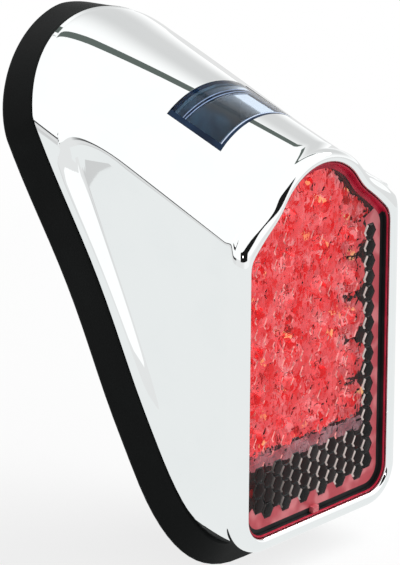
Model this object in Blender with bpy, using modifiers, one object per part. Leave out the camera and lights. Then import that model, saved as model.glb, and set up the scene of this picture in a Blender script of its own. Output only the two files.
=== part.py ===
"""LED tail light for a motorcycle fender.

A chrome die-cast housing stands on a thick rubber pad. Its front holds a red lens of hexagonal
prisms, with the lamp tray, the lamps and their board stacked behind it. Its roof holds a clear
window over a small number-plate lamp. A steel plate with two studs closes the back.

Face coordinates: x to the right as seen from behind the vehicle, y into the light from the lens
face, z up. Base coordinates: x the same, s up along the slanted base, h forward from the base plane.
"""

import math

import bmesh
import bpy
from mathutils import Matrix, Vector

# Fits
CLEARANCE = 0.0003
CUT_MARGIN = 0.002

# Lens opening in the bezel, seen from the front
OPENING_HALF_WIDTH = 0.03325
OPENING_BOTTOM = 0.0050
OPENING_CORNER = 0.0060
ARCH_CENTRE = 0.0964
ARCH_RADIUS = 0.0220
SHOULDER_HEIGHT = 0.0950
SHOULDER_BLEND = 0.0030
OGEE_DEPTH = 0.0008

# Bezel lip round the opening, and the roof cove behind it
LIP_WIDTH = 0.0048
LIP_CREST = 0.0014
LIP_FRONT = -0.0008
LIP_EDGE = 0.0004
LIP_BACK = 0.0029
NECK_DEPTH = 0.0046
NECK_SIDE = 0.0010
NECK_SIDE_RISE = 0.0054
NECK_ROOF_RISE = 0.0043
NECK_INSET = 0.0001
EAVE_BLEND = 0.0015
EAVE_SIDE = 0.0045
LIP_SHOULDER_RISE = 0.0016

# Recess for the lens, and the web that closes it
WEB_FRONT = 0.0120
WEB_THICKNESS = 0.0016
CAVITY_OFFSET = 0.0017
CAVITY_ROOF_RISE = 0.0032

# Slanted base of the housing
BASE_LEAN = math.radians(28.5)
BASE_SET_BACK = 0.0141
BASE_HALF_WIDTH = 0.0395
BASE_BOTTOM = -0.0005
BASE_ARCH_CENTRE = 0.1260
BASE_ARCH_RADIUS = 0.0425
BASE_CORNER_WIDTH = 0.0215
BASE_CORNER_HEIGHT = 0.0405
BASE_CORNER_POWER = 2.3
FLANGE_EDGE = 0.0012
FLANGE_FLARE = 0.0040
FLANGE_ROOF_FLARE = -0.0005
FLANGE_COVE = 0.0100
WALL = 0.0022

# Rubber pad under the base
PAD_THICKNESS = 0.0104
PAD_LEDGE = 0.0007
PAD_SIDE_FLARE = 0.0035
PAD_TOP_FLARE = 0.0050
PAD_BOTTOM_FLARE = 0.0060
PAD_CORNER_WIDTH = 0.0312
PAD_CORNER_HEIGHT = 0.0405
PAD_CORNER_POWER = 2.75
PAD_CROWN_HEIGHT = 0.0355
PAD_CROWN_POWER = 1.72
PAD_WAIST = 0.0019
PAD_WAIST_LOW = 0.0450
PAD_WAIST_HIGH = 0.1350
PAD_EDGE_ROUND = 0.0010

# Lens
LENS_FACE = 0.0022
LENS_PLATE = 0.0022
LENS_RIM_FACE = 0.0005
LENS_RIM_WIDTH = 0.0011
LENS_SKIRT = 0.0016
LENS_SKIRT_END = 0.0106
STRIP_WIDTH = 0.0023
PRISM_PITCH = 0.0050
PRISM_BEVEL = 0.00045
PRISM_HEIGHT = 0.0008
GATE_TAB_WIDTH = 0.0030
GATE_TAB_HEIGHT = 0.0008
SEAL_THICKNESS = 0.0008

# Lamp tray, board and lamps
TRAY_FRONT = 0.0070
TRAY_THICKNESS = 0.0012
CUP_MOUTH = 0.0056
CUP_THROAT = 0.0032
BOARD_THICKNESS = 0.0016
LAMP_COLUMN_PITCH = 0.0150
LAMP_ROW_PITCH = 0.0134
LAMP_FIRST_ROW = 0.0350
LAMP_ROWS = 5
LAMP_TOP_SPACING = 0.0090
LAMP_RADIUS = 0.0024
LAMP_FLANGE_RADIUS = 0.0028
LAMP_FLANGE = 0.0007
LAMP_HEIGHT = 0.0033
LAMP_DOME = 0.0019

# Screws that pull the lens in from behind the web
LENS_BOSS_RADIUS = 0.0028
LENS_SCREW_RADIUS = 0.0014
LENS_SCREW_HEAD = 0.0027
LENS_SCREW_HEAD_HEIGHT = 0.0016
LENS_SCREW_BITE = 0.0060
LENS_SCREW_LOW = 0.0180
LENS_SCREW_HIGH = 0.1010
LENS_SCREW_LOW_X = 0.0250
LENS_SCREW_HIGH_X = 0.0185

# Parts on the back of the lamp board
CONNECTOR_WIDTH = 0.0100
CONNECTOR_HEIGHT = 0.0060
CONNECTOR_LENGTH = 0.0060
CONNECTOR_UP = 0.0685
REGULATOR_SIDE = 0.0060
REGULATOR_THICKNESS = 0.0013
REGULATOR_UP = 0.0550

# Roof window and the plate lamp under it
WINDOW_HALF_WIDTH = 0.0177
WINDOW_FRONT = 0.0258
WINDOW_LENGTH = 0.0210
WINDOW_RECESS = 0.0006
POCKET_RIM = 0.0020
POCKET_FLOOR = 0.1120
POCKET_WALL = 0.0015
PLATE_BOARD_WIDTH = 0.0240
PLATE_BOARD_LENGTH = 0.0100
PLATE_LAMP_SPACING = 0.0120
PLATE_LAMP_SIDE = 0.0035
PLATE_LAMP_HEIGHT = 0.0016

# Lead from the lamp board to the plate lamp board
LEAD_RADIUS = 0.0010
LEAD_X = 0.0

# Base plate, studs, grommet and screws
BASE_PLATE_THICKNESS = 0.0015
STUD_SPACING = 0.0800
STUD_RADIUS = 0.0030
STUD_REACH = 0.0200
STUD_HEAD_RADIUS = 0.0070
STUD_HEAD_HEIGHT = 0.0020
WIRE_HOLE_RADIUS = 0.0072
WIRE_HOLE_ABOVE_CENTRE = 0.0200
GROMMET_BORE = 0.0055
GROMMET_FLANGE = 0.0019
GROMMET_FLANGE_HEIGHT = 0.0020
BASE_BOSS_RADIUS = 0.0040
BASE_BOSS_LENGTH = 0.0080
BASE_BOSS_LOW = 0.0330
BASE_BOSS_HIGH = 0.1260
BASE_SCREW_RADIUS = 0.0016
BASE_SCREW_HEAD = 0.0034
BASE_SCREW_HEAD_HEIGHT = 0.0020
BASE_SCREW_BITE = 0.0060

# Facets
BOTTOM_STEPS = 2
CORNER_STEPS = 5
SIDE_STEPS = 4
BLEND_STEPS = 3
SHOULDER_STEPS = 5
ARCH_STEPS = 6
SHOULDER_SHARE = 0.55
COVE_STEPS = 3
LIP_STEPS = 4
BODY_STEPS = 4
ROUND_STEPS = 12
LAMP_STEPS = 8
DOME_STEPS = 3
CUP_STEPS = 12

# Sizes that follow from the ones above
WEB_BACK = WEB_FRONT + WEB_THICKNESS
LENS_BACK = LENS_FACE + LENS_PLATE
SKIRT_INNER = -CLEARANCE - LENS_SKIRT
RIM_INNER = -CLEARANCE - LENS_RIM_WIDTH
FIELD_OFFSET = SKIRT_INNER - STRIP_WIDTH
STACK_OFFSET = SKIRT_INNER - CLEARANCE
TRAY_BACK = TRAY_FRONT + TRAY_THICKNESS
BOARD_FRONT = TRAY_BACK + CLEARANCE
BOARD_BACK = BOARD_FRONT + BOARD_THICKNESS
SEAL_FRONT = LENS_SKIRT_END + CLEARANCE
LENS_SCREW_HOLE = LENS_SCREW_RADIUS + CLEARANCE
BASE_SCREW_HOLE = BASE_SCREW_RADIUS + CLEARANCE
PLATE_TOP = CLEARANCE + BASE_PLATE_THICKNESS
PAD_FRONT = -CLEARANCE
PAD_BACK = PAD_FRONT - PAD_THICKNESS
BASE_APEX = BASE_ARCH_CENTRE + BASE_ARCH_RADIUS
PAD_APEX = BASE_APEX + PAD_TOP_FLARE
PAD_LOWEST = BASE_BOTTOM - PAD_BOTTOM_FLARE
PAD_MIDDLE = (PAD_APEX + PAD_LOWEST) / 2
WINDOW_BACK = WINDOW_FRONT + WINDOW_LENGTH
WINDOW_MIDDLE = (WINDOW_FRONT + WINDOW_BACK) / 2
STUD_PLACES = (PAD_MIDDLE - STUD_SPACING / 2, PAD_MIDDLE + STUD_SPACING / 2)
WIRE_PLACE = PAD_MIDDLE + WIRE_HOLE_ABOVE_CENTRE
BASE_BOSS_INSET = WALL + 0.7 * BASE_BOSS_RADIUS
EAVE_ROUNDING = (EAVE_SIDE, EAVE_BLEND)
PLATE_INSET = WALL + 3 * CLEARANCE
ABOVE_ROOF = BASE_APEX


def base_point(x, s, h):
    """Face coordinates of a point given in base coordinates."""
    y = BASE_SET_BACK + s * math.sin(BASE_LEAN) - h * math.cos(BASE_LEAN)
    z = s * math.cos(BASE_LEAN) + h * math.sin(BASE_LEAN)
    return Vector((x, y, z))


def base_place(point):
    """Base coordinates of a point given in face coordinates."""
    back = point.y - BASE_SET_BACK
    s = back * math.sin(BASE_LEAN) + point.z * math.cos(BASE_LEAN)
    h = point.z * math.sin(BASE_LEAN) - back * math.cos(BASE_LEAN)
    return Vector((point.x, s, h))


MOUNT_POINT = base_point(0.0, PAD_MIDDLE, PAD_BACK)


# Scene, materials and objects


def clear_scene():
    for obj in list(bpy.data.objects):
        bpy.data.objects.remove(obj, do_unlink=True)


def new_collection(name):
    collection = bpy.data.collections.new(name)
    bpy.context.scene.collection.children.link(collection)
    return collection


def new_material(name, colour, metallic, roughness, alpha=1.0):
    material = bpy.data.materials.new(name)
    material.use_nodes = True
    shader = material.node_tree.nodes["Principled BSDF"]
    shader.inputs["Base Color"].default_value = (*colour, 1.0)
    shader.inputs["Metallic"].default_value = metallic
    shader.inputs["Roughness"].default_value = roughness
    shader.inputs["Alpha"].default_value = alpha
    return material


clear_scene()
PARTS = new_collection("tail_light")
CUTTERS = new_collection("tail_light_cutters")

CHROME = new_material("chrome", (0.88, 0.89, 0.90), 1.0, 0.04)
RED_LENS = new_material("red_lens", (0.75, 0.02, 0.03), 0.0, 0.05, 0.6)
CLEAR_WINDOW = new_material("clear_window", (0.60, 0.72, 0.88), 0.0, 0.03, 0.4)
RUBBER = new_material("black_rubber", (0.012, 0.013, 0.013), 0.0, 0.75)
BLACK_PLASTIC = new_material("black_plastic", (0.015, 0.015, 0.016), 0.0, 0.45)
BOARD_GREEN = new_material("board_laminate", (0.02, 0.13, 0.06), 0.0, 0.5)
RED_LAMP = new_material("red_lamp", (0.90, 0.03, 0.03), 0.0, 0.1)
WHITE_LAMP = new_material("white_lamp", (0.93, 0.90, 0.70), 0.0, 0.3)
ZINC_STEEL = new_material("zinc_steel", (0.62, 0.63, 0.64), 1.0, 0.35)
LEAD_SHEATH = new_material("lead_sheath", (0.55, 0.02, 0.02), 0.0, 0.5)


def new_frame(name, parent, place, tilt):
    """An empty that carries the pieces of one sub-assembly."""
    frame = bpy.data.objects.new(name, None)
    frame.location = place
    frame.rotation_euler = (tilt, 0.0, 0.0)
    frame.parent = parent
    PARTS.objects.link(frame)
    return frame


FACE = new_frame("face_frame", None, -MOUNT_POINT, 0.0)
FRONT = new_frame("front_frame", FACE, (0.0, 0.0, 0.0), math.pi / 2)
BASE = new_frame("base_frame", FACE, (0.0, BASE_SET_BACK, 0.0), math.pi / 2 - BASE_LEAN)


def add_object(name, mesh, parent, material, place=(0.0, 0.0, 0.0)):
    """A piece of the light, or a cutter where it has no material."""
    obj = bpy.data.objects.new(name, mesh)
    obj.location = place
    obj.parent = parent
    if material is None:
        CUTTERS.objects.link(obj)
        obj.hide_render = True
        obj.display_type = "WIRE"
    else:
        PARTS.objects.link(obj)
        mesh.materials.clear()
        mesh.materials.append(material)
        mesh.shade_smooth()
        mesh.set_sharp_from_angle(angle=math.radians(35))
    return obj


def finish_mesh(name, shape):
    bmesh.ops.recalc_face_normals(shape, faces=shape.faces)
    mesh = bpy.data.meshes.new(name)
    shape.to_mesh(mesh)
    shape.free()
    return mesh


def boolean(obj, other, operation):
    modifier = obj.modifiers.new(f"{operation.lower()} {other.name}", "BOOLEAN")
    modifier.object = other
    modifier.operation = operation
    modifier.solver = "EXACT"


def cut(obj, other):
    boolean(obj, other, "DIFFERENCE")


def join(obj, other):
    boolean(obj, other, "UNION")


# Basic shapes


def loft_mesh(name, rings, closed):
    """Skin over rings of equal length: closed into a tube wall, or capped at both ends."""
    shape = bmesh.new()
    rows = [[shape.verts.new(point) for point in ring] for ring in rings]
    pairs = list(zip(rows, rows[1:]))
    if closed:
        pairs.append((rows[-1], rows[0]))
    else:
        shape.faces.new(rows[0])
        shape.faces.new(rows[-1])
    for near, far in pairs:
        count = len(near)
        for i in range(count):
            j = (i + 1) % count
            shape.faces.new((near[i], near[j], far[j], far[i]))
    return finish_mesh(name, shape)


def flat_ring(outline, height):
    return [Vector((x, up, height)) for x, up in outline]


def prism_mesh(name, outline, low, high):
    """A flat outline with a thickness."""
    return loft_mesh(name, [flat_ring(outline, low), flat_ring(outline, high)], False)


def frame_mesh(name, outer, inner, low, high):
    """A flat ring between two outlines."""
    rings = [
        flat_ring(outer, low),
        flat_ring(outer, high),
        flat_ring(inner, high),
        flat_ring(inner, low),
    ]
    return loft_mesh(name, rings, True)


def cone_mesh(name, low_radius, high_radius, low, high, steps=ROUND_STEPS):
    """A cylinder or a cone along z, between two heights."""
    shape = bmesh.new()
    middle = Matrix.Translation((0.0, 0.0, (low + high) / 2))
    bmesh.ops.create_cone(
        shape,
        cap_ends=True,
        segments=steps,
        radius1=low_radius,
        radius2=high_radius,
        depth=high - low,
        matrix=middle,
    )
    return finish_mesh(name, shape)


def box_mesh(name, low, high):
    """A box between its lowest and highest corners."""
    shape = bmesh.new()
    low = Vector(low)
    high = Vector(high)
    size = Matrix.Diagonal((*(high - low), 1.0))
    place = Matrix.Translation((low + high) / 2)
    bmesh.ops.create_cube(shape, size=1.0, matrix=place @ size)
    return finish_mesh(name, shape)


def turned(name, profile, parent, material, place, steps=ROUND_STEPS, closed=False):
    """A turned piece: the profile gives radius and height down its outer side, top to bottom."""
    shape = bmesh.new()
    points = [shape.verts.new((radius, 0.0, height)) for radius, height in profile]
    for near, far in zip(points, points[1:]):
        shape.edges.new((near, far))
    if closed:
        shape.edges.new((points[-1], points[0]))
    mesh = bpy.data.meshes.new(name)
    shape.to_mesh(mesh)
    shape.free()
    obj = add_object(name, mesh, parent, material, place)
    screw = obj.modifiers.new("turn", "SCREW")
    screw.steps = steps
    screw.render_steps = steps
    screw.use_merge_vertices = True
    screw.merge_threshold = 0.00001
    screw.use_smooth_shade = True
    return obj


def drill(obj, name, radius, low, high, parent, place):
    cutter = add_object(name, cone_mesh(name, radius, radius, low, high), parent, None, place)
    cut(obj, cutter)


# Outlines, each from the bottom centre round the right side, the top and the left side


def spread(start, end, steps):
    return [Vector(start).lerp(Vector(end), k / steps) for k in range(steps)]


def arc(centre, radius, start, end, steps):
    angles = [start + (end - start) * k / steps for k in range(steps)]
    return [Vector(centre) + radius * Vector((math.cos(a), math.sin(a))) for a in angles]


def blend(start, corner, end, steps):
    """A rounded corner: a curve that leaves along one side and arrives along the other."""
    points = []
    for k in range(steps):
        t = k / steps
        points.append(
            (1 - t) ** 2 * Vector(start) + 2 * t * (1 - t) * Vector(corner) + t**2 * Vector(end)
        )
    return points


def mirrored(half):
    return half + [Vector((-point.x, point.y)) for point in reversed(half[1:-1])]


def shoulder_normal(half_width, shoulder, radius):
    """Outward direction of a shoulder, which is tangent to the arch."""
    rise = shoulder - ARCH_CENTRE
    reach = math.hypot(half_width, rise)
    angle = math.atan2(rise, half_width) + math.acos(radius / reach)
    return Vector((math.cos(angle), math.sin(angle)))


def front_outline(offset, rounding=(SHOULDER_BLEND, SHOULDER_BLEND), rise=0.0):
    """The opening's tombstone outline, moved outwards by an offset, with its shoulders raised.

    The rounding is a length below the shoulder's corner and one above it.
    """
    below, above = rounding
    half_width = OPENING_HALF_WIDTH + offset
    bottom = OPENING_BOTTOM - offset
    corner = max(OPENING_CORNER + offset, CLEARANCE)
    plain = shoulder_normal(OPENING_HALF_WIDTH, SHOULDER_HEIGHT, ARCH_RADIUS)
    shoulder = Vector((half_width, SHOULDER_HEIGHT + offset * (1 - plain.x) / plain.y + rise))
    arch = Vector((0.0, ARCH_CENTRE))
    radius = ARCH_RADIUS + offset
    normal = shoulder_normal(half_width, shoulder.y, radius)
    along = Vector((-normal.y, normal.x))
    slope_start = shoulder + above * along
    slope_end = arch + radius * normal
    half = spread((0.0, bottom), (half_width - corner, bottom), BOTTOM_STEPS)
    half += arc((half_width - corner, bottom + corner), corner, -math.pi / 2, 0.0, CORNER_STEPS)
    side_end = shoulder - Vector((0.0, below))
    half += spread((half_width, bottom + corner), side_end, SIDE_STEPS)
    half += blend(side_end, shoulder, slope_start, BLEND_STEPS)
    for k, point in enumerate(spread(slope_start, slope_end, SHOULDER_STEPS)):
        dip = OGEE_DEPTH * math.sin(math.pi * (k / SHOULDER_STEPS) ** 1.5) ** 2
        half.append(point - dip * normal)
    half += arc(arch, radius, math.atan2(normal.y, normal.x), math.pi / 2, ARCH_STEPS)
    half.append(arch + Vector((0.0, radius)))
    return mirrored(half)


def arched_outline(half_width, bottom, arch_centre, arch_radius, corner, taper=0.0):
    """An outline with a round top and wide lower corners. Its sides lean in by the taper."""
    corner_width, corner_height, power = corner
    half = spread((0.0, bottom), (half_width - corner_width, bottom), BOTTOM_STEPS)
    for k in range(CORNER_STEPS):
        angle = math.pi / 2 * k / CORNER_STEPS
        across = corner_width * math.sin(angle) ** (2 / power)
        down = corner_height * math.cos(angle) ** (2 / power)
        half.append(Vector((half_width - corner_width + across, bottom + corner_height - down)))
    eave_x = half_width - taper
    eave = arch_centre + math.sqrt(max(arch_radius**2 - eave_x**2, 0.0))
    eave_angle = math.atan2(eave - arch_centre, eave_x)
    first = eave_angle + EAVE_BLEND / arch_radius
    middle = first + SHOULDER_SHARE * (math.pi / 2 - first)
    centre = Vector((0.0, arch_centre))
    after_eave = centre + arch_radius * Vector((math.cos(first), math.sin(first)))
    half += spread((half_width, bottom + corner_height), (eave_x, eave - EAVE_SIDE), SIDE_STEPS)
    half += blend((eave_x, eave - EAVE_SIDE), (eave_x, eave), after_eave, BLEND_STEPS)
    half += arc(centre, arch_radius, first, middle, SHOULDER_STEPS)
    half += arc(centre, arch_radius, middle, math.pi / 2, ARCH_STEPS)
    half.append(centre + Vector((0.0, arch_radius)))
    return mirrored(half)


def base_outline(inset):
    """The housing's base outline, moved inwards by an inset."""
    return arched_outline(
        BASE_HALF_WIDTH - inset,
        BASE_BOTTOM + inset,
        BASE_ARCH_CENTRE,
        BASE_ARCH_RADIUS - inset,
        (BASE_CORNER_WIDTH, BASE_CORNER_HEIGHT, BASE_CORNER_POWER),
    )


def body_outline(inset):
    """The housing's outline inside its flange, moved inwards by an inset."""
    return arched_outline(
        BASE_HALF_WIDTH - inset,
        BASE_BOTTOM + inset,
        BASE_ARCH_CENTRE,
        BASE_ARCH_RADIUS - FLANGE_ROOF_FLARE - inset,
        (BASE_CORNER_WIDTH, BASE_CORNER_HEIGHT, BASE_CORNER_POWER),
        FLANGE_FLARE,
    )


def pad_outline():
    """The pad's outline where it meets the fender: a slight waist, and a crown with soft eaves."""
    half_width = BASE_HALF_WIDTH + PAD_SIDE_FLARE
    eave = PAD_APEX - PAD_CROWN_HEIGHT
    corner = (PAD_CORNER_WIDTH, PAD_CORNER_HEIGHT, PAD_CORNER_POWER)
    outline = arched_outline(half_width, PAD_LOWEST, eave, half_width, corner)
    points = []
    for point, base in zip(outline, base_outline(0.0)):
        if point.y >= eave - EAVE_SIDE:
            across = min(abs(base.x) / BASE_HALF_WIDTH, 1.0)
            rise = (1 - across**PAD_CROWN_POWER) ** (1 / PAD_CROWN_POWER)
            point = Vector((math.copysign(half_width * across, base.x), eave + PAD_CROWN_HEIGHT * rise))
        elif PAD_WAIST_LOW < point.y < PAD_WAIST_HIGH:
            turn = math.pi * (point.y - PAD_WAIST_LOW) / (PAD_WAIST_HIGH - PAD_WAIST_LOW)
            point = point - Vector((math.copysign(PAD_WAIST * math.sin(turn) ** 2, point.x), 0.0))
        points.append(point)
    return points


def roof_share():
    """For each outline point, how far it belongs to the roof: 0 on the sides, 1 above the eaves."""
    below = BOTTOM_STEPS + CORNER_STEPS + SIDE_STEPS
    above = SHOULDER_STEPS + ARCH_STEPS + 1
    half = [0.0] * below + [k / BLEND_STEPS for k in range(BLEND_STEPS)] + [1.0] * above
    return half + half[-2:0:-1]


# Housing


def face_ring(offset, depth, rounding=(SHOULDER_BLEND, SHOULDER_BLEND), rise=0.0):
    """An outline of the front, at a depth behind the lens face."""
    return [Vector((x, depth, z)) for x, z in front_outline(offset, rounding, rise)]


def base_ring(inset, height=0.0):
    return [base_point(x, s, height) for x, s in base_outline(inset)]


def mixed(near, far, shares):
    return [a.lerp(b, share) for a, b, share in zip(near, far, shares)]


def neck_ring(share, depth):
    """A ring between the lip's outer edge and the neck, which is narrower and has higher eaves."""
    lip = face_ring(LIP_WIDTH, depth, EAVE_ROUNDING, LIP_SHOULDER_RISE)
    sides = face_ring(LIP_WIDTH - NECK_SIDE, depth, EAVE_ROUNDING, NECK_SIDE_RISE)
    roof = face_ring(LIP_WIDTH - NECK_INSET, depth, EAVE_ROUNDING, NECK_ROOF_RISE)
    return mixed(lip, mixed(sides, roof, roof_share()), [share] * len(lip))


def ruled(near, far):
    """Rings along the straight lines between two rings."""
    count = len(near)
    return [mixed(near, far, [k / BODY_STEPS] * count) for k in range(BODY_STEPS + 1)]


def body_foot(share):
    """The base outline, set in by a share of the flange's flare. The roof bulges a little instead."""
    body = [base_point(x, s, 0.0) for x, s in body_outline(0.0)]
    return mixed(base_ring(0.0), body, [share] * len(body))


def body_rings():
    """The outside of the roof, sides and floor: straight lines from the flange to the neck."""
    return ruled(flange_rings()[-1], neck_ring(1.0, NECK_DEPTH))


def flange_rings():
    """The base flange: a thin edge, then a cove that runs into the body."""
    body = body_foot(1.0)
    neck = neck_ring(1.0, NECK_DEPTH)
    rings = [base_ring(0.0)]
    for k in range(COVE_STEPS + 1):
        angle = math.pi / 2 * k / COVE_STEPS
        ring = []
        for edge, low, high in zip(body_foot(math.sin(angle)), body, neck):
            room = (high - low).length
            cove = min(FLANGE_COVE, room / 2)
            rise = FLANGE_EDGE + cove * (1 - math.cos(angle))
            ring.append(edge + (high - low).normalized() * rise)
        rings.append(ring)
    return rings


def bezel_rings():
    """From the roof cove over the rounded lip and down the recess to the web."""
    rings = []
    for k in range(1, COVE_STEPS + 1):
        angle = math.pi / 2 * k / COVE_STEPS
        depth = NECK_DEPTH - (NECK_DEPTH - LIP_BACK) * math.sin(angle)
        rings.append(neck_ring(math.cos(angle), depth))
    outer_round = LIP_WIDTH - LIP_CREST
    for k in range(LIP_STEPS + 1):
        angle = math.pi / 2 * k / LIP_STEPS
        out = math.cos(angle)
        offset = LIP_CREST + outer_round * out
        depth = LIP_FRONT + outer_round * (1 - math.sin(angle))
        below = SHOULDER_BLEND + (EAVE_SIDE - SHOULDER_BLEND) * out
        above = SHOULDER_BLEND + (EAVE_BLEND - SHOULDER_BLEND) * out
        rings.append(face_ring(offset, depth, (below, above), LIP_SHOULDER_RISE * out))
    for k in range(1, COVE_STEPS + 1):
        angle = math.pi / 2 * k / COVE_STEPS
        offset = LIP_CREST * (1 - math.sin(angle))
        rings.append(face_ring(offset, LIP_FRONT + (LIP_EDGE - LIP_FRONT) * (1 - math.cos(angle))))
    rings.append(face_ring(0.0, WEB_FRONT))
    return rings


def cavity_rings():
    """The hollow behind the web, down to the base. It rises under the roof."""
    front = []
    for point, share in zip(face_ring(CAVITY_OFFSET, WEB_BACK, EAVE_ROUNDING), roof_share()):
        front.append(point + Vector((0.0, 0.0, CAVITY_ROOF_RISE * share)))
    return ruled(front, [base_point(x, s, 0.0) for x, s in body_outline(WALL)])


def lens_screw_places():
    return [
        (LENS_SCREW_LOW_X, LENS_SCREW_LOW),
        (-LENS_SCREW_LOW_X, LENS_SCREW_LOW),
        (LENS_SCREW_HIGH_X, LENS_SCREW_HIGH),
        (-LENS_SCREW_HIGH_X, LENS_SCREW_HIGH),
    ]


def base_boss_places():
    """The base bosses, which overlap the housing's walls: the walls lean in towards the eaves."""
    low_x = BASE_HALF_WIDTH - BASE_BOSS_INSET
    corner_top = BASE_BOTTOM + BASE_CORNER_HEIGHT
    roof = BASE_ARCH_RADIUS - FLANGE_ROOF_FLARE
    eave = BASE_ARCH_CENTRE + math.sqrt(roof**2 - (BASE_HALF_WIDTH - FLANGE_FLARE) ** 2)
    high_x = low_x - FLANGE_FLARE * (BASE_BOSS_HIGH - corner_top) / (eave - corner_top)
    places = [(low_x, BASE_BOSS_LOW), (high_x, BASE_BOSS_HIGH)]
    return [(side * x, s) for x, s in places for side in (1, -1)]


def window_box(name, grow, material=None):
    """An upright block over the roof window's opening, larger or smaller by grow on each side."""
    low = (-WINDOW_HALF_WIDTH - grow, WINDOW_FRONT - grow, POCKET_FLOOR)
    high = (WINDOW_HALF_WIDTH + grow, WINDOW_BACK + grow, ABOVE_ROOF)
    return add_object(name, box_mesh(name, low, high), FACE, material)


def make_housing():
    outside = flange_rings() + body_rings()[1:] + bezel_rings()
    rings = outside + cavity_rings()
    web_at = len(outside)
    mesh = housing_mesh("housing", rings, web_at)
    housing = add_object("housing", mesh, FACE, CHROME)
    boss_low = PLATE_TOP + CLEARANCE
    for number, (x, s) in enumerate(base_boss_places(), 1):
        name = f"base_boss_{number}"
        boss = cone_mesh(name, BASE_BOSS_RADIUS, BASE_BOSS_RADIUS, boss_low, boss_low + BASE_BOSS_LENGTH)
        join(housing, add_object(name, boss, BASE, None, (x, s, 0.0)))
        hole_top = boss_low + BASE_SCREW_BITE
        name = f"base_boss_hole_{number}"
        drill(housing, name, BASE_SCREW_HOLE, boss_low - CUT_MARGIN, hole_top, BASE, (x, s, 0.0))
    for number, (x, z) in enumerate(lens_screw_places(), 1):
        name = f"web_spacer_{number}"
        front = -BOARD_BACK - CLEARANCE
        middle = -WEB_FRONT - WEB_THICKNESS / 2
        spacer = cone_mesh(name, LENS_BOSS_RADIUS, LENS_BOSS_RADIUS, middle, front)
        join(housing, add_object(name, spacer, FRONT, None, (x, z, 0.0)))
        name = f"web_hole_{number}"
        low = -WEB_BACK - CUT_MARGIN
        drill(housing, name, LENS_SCREW_HOLE, low, front + CUT_MARGIN, FRONT, (x, z, 0.0))
    slot_low = (-CONNECTOR_WIDTH / 2 - CLEARANCE, WEB_FRONT - CUT_MARGIN, connector_low() - CLEARANCE)
    slot_high = (CONNECTOR_WIDTH / 2 + CLEARANCE, WEB_BACK + CUT_MARGIN, connector_high() + CLEARANCE)
    cut(housing, add_object("web_slot", box_mesh("web_slot", slot_low, slot_high), FACE, None))
    cut(housing, window_box("window_opening", 0.0))
    return housing


def housing_mesh(name, rings, web_at):
    """The shell's skin: over the outside into the recess, and from the cavity's top to the base."""
    shape = bmesh.new()
    rows = [[shape.verts.new(point) for point in ring] for ring in rings]
    pairs = [(rows[k], rows[k + 1]) for k in range(len(rows) - 1) if k != web_at - 1]
    pairs.append((rows[-1], rows[0]))
    for near, far in pairs:
        count = len(near)
        for i in range(count):
            j = (i + 1) % count
            shape.faces.new((near[i], near[j], far[j], far[i]))
    shape.faces.new(rows[web_at - 1])
    shape.faces.new(rows[web_at])
    return finish_mesh(name, shape)


# Roof window and plate lamp


def make_window():
    outside = add_object("roof_outside", loft_mesh("roof_outside", body_rings(), False), FACE, None)
    outside.location.z = -WINDOW_RECESS
    inside = add_object("roof_inside", loft_mesh("roof_inside", cavity_rings(), False), FACE, None)
    window = window_box("plate_window", -CLEARANCE, CLEAR_WINDOW)
    boolean(window, outside, "INTERSECT")
    cut(window, inside)


def make_plate_lamp():
    top = add_object("pocket_top", loft_mesh("pocket_top", cavity_rings(), False), FACE, None)
    top.location.z = -CLEARANCE
    name = "lamp_pocket"
    rim = POCKET_RIM
    low = (-WINDOW_HALF_WIDTH - rim, WINDOW_FRONT - rim, POCKET_FLOOR - POCKET_WALL)
    high = (WINDOW_HALF_WIDTH + rim, WINDOW_BACK + rim, ABOVE_ROOF)
    pocket = add_object(name, box_mesh(name, low, high), FACE, BLACK_PLASTIC)
    boolean(pocket, top, "INTERSECT")
    cut(pocket, window_box("pocket_hollow", -rim))
    hole = LEAD_RADIUS + CLEARANCE
    floor = POCKET_FLOOR - POCKET_WALL
    place = (LEAD_X, WINDOW_MIDDLE, 0.0)
    drill(pocket, "lead_hole", hole, floor - CUT_MARGIN, POCKET_FLOOR + CUT_MARGIN, FACE, place)
    board_low = POCKET_FLOOR + CLEARANCE
    board_high = board_low + BOARD_THICKNESS
    low = (-PLATE_BOARD_WIDTH / 2, WINDOW_MIDDLE - PLATE_BOARD_LENGTH / 2, board_low)
    high = (PLATE_BOARD_WIDTH / 2, WINDOW_MIDDLE + PLATE_BOARD_LENGTH / 2, board_high)
    add_object("plate_lamp_board", box_mesh("plate_lamp_board", low, high), FACE, BOARD_GREEN)
    lamp_low = board_high + CLEARANCE
    half = PLATE_LAMP_SIDE / 2
    for number, side in enumerate((-1, 1), 1):
        x = side * PLATE_LAMP_SPACING / 2
        low = (x - half, WINDOW_MIDDLE - half, lamp_low)
        high = (x + half, WINDOW_MIDDLE + half, lamp_low + PLATE_LAMP_HEIGHT)
        name = f"plate_led_{number}"
        add_object(name, box_mesh(name, low, high), FACE, WHITE_LAMP)


# Lens, seal, tray, board and lamps


def hexagon(x, z, radius):
    return [
        Vector((x + radius * math.cos(k * math.pi / 3), z + radius * math.sin(k * math.pi / 3)))
        for k in range(6)
    ]


def inside_outline(point, outline):
    """Whether a point lies inside a closed outline."""
    inside = False
    for a, b in zip(outline, outline[1:] + outline[:1]):
        if (a.y > point.y) != (b.y > point.y):
            crossing = a.x + (point.y - a.y) * (b.x - a.x) / (b.y - a.y)
            inside ^= point.x < crossing
    return inside


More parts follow.
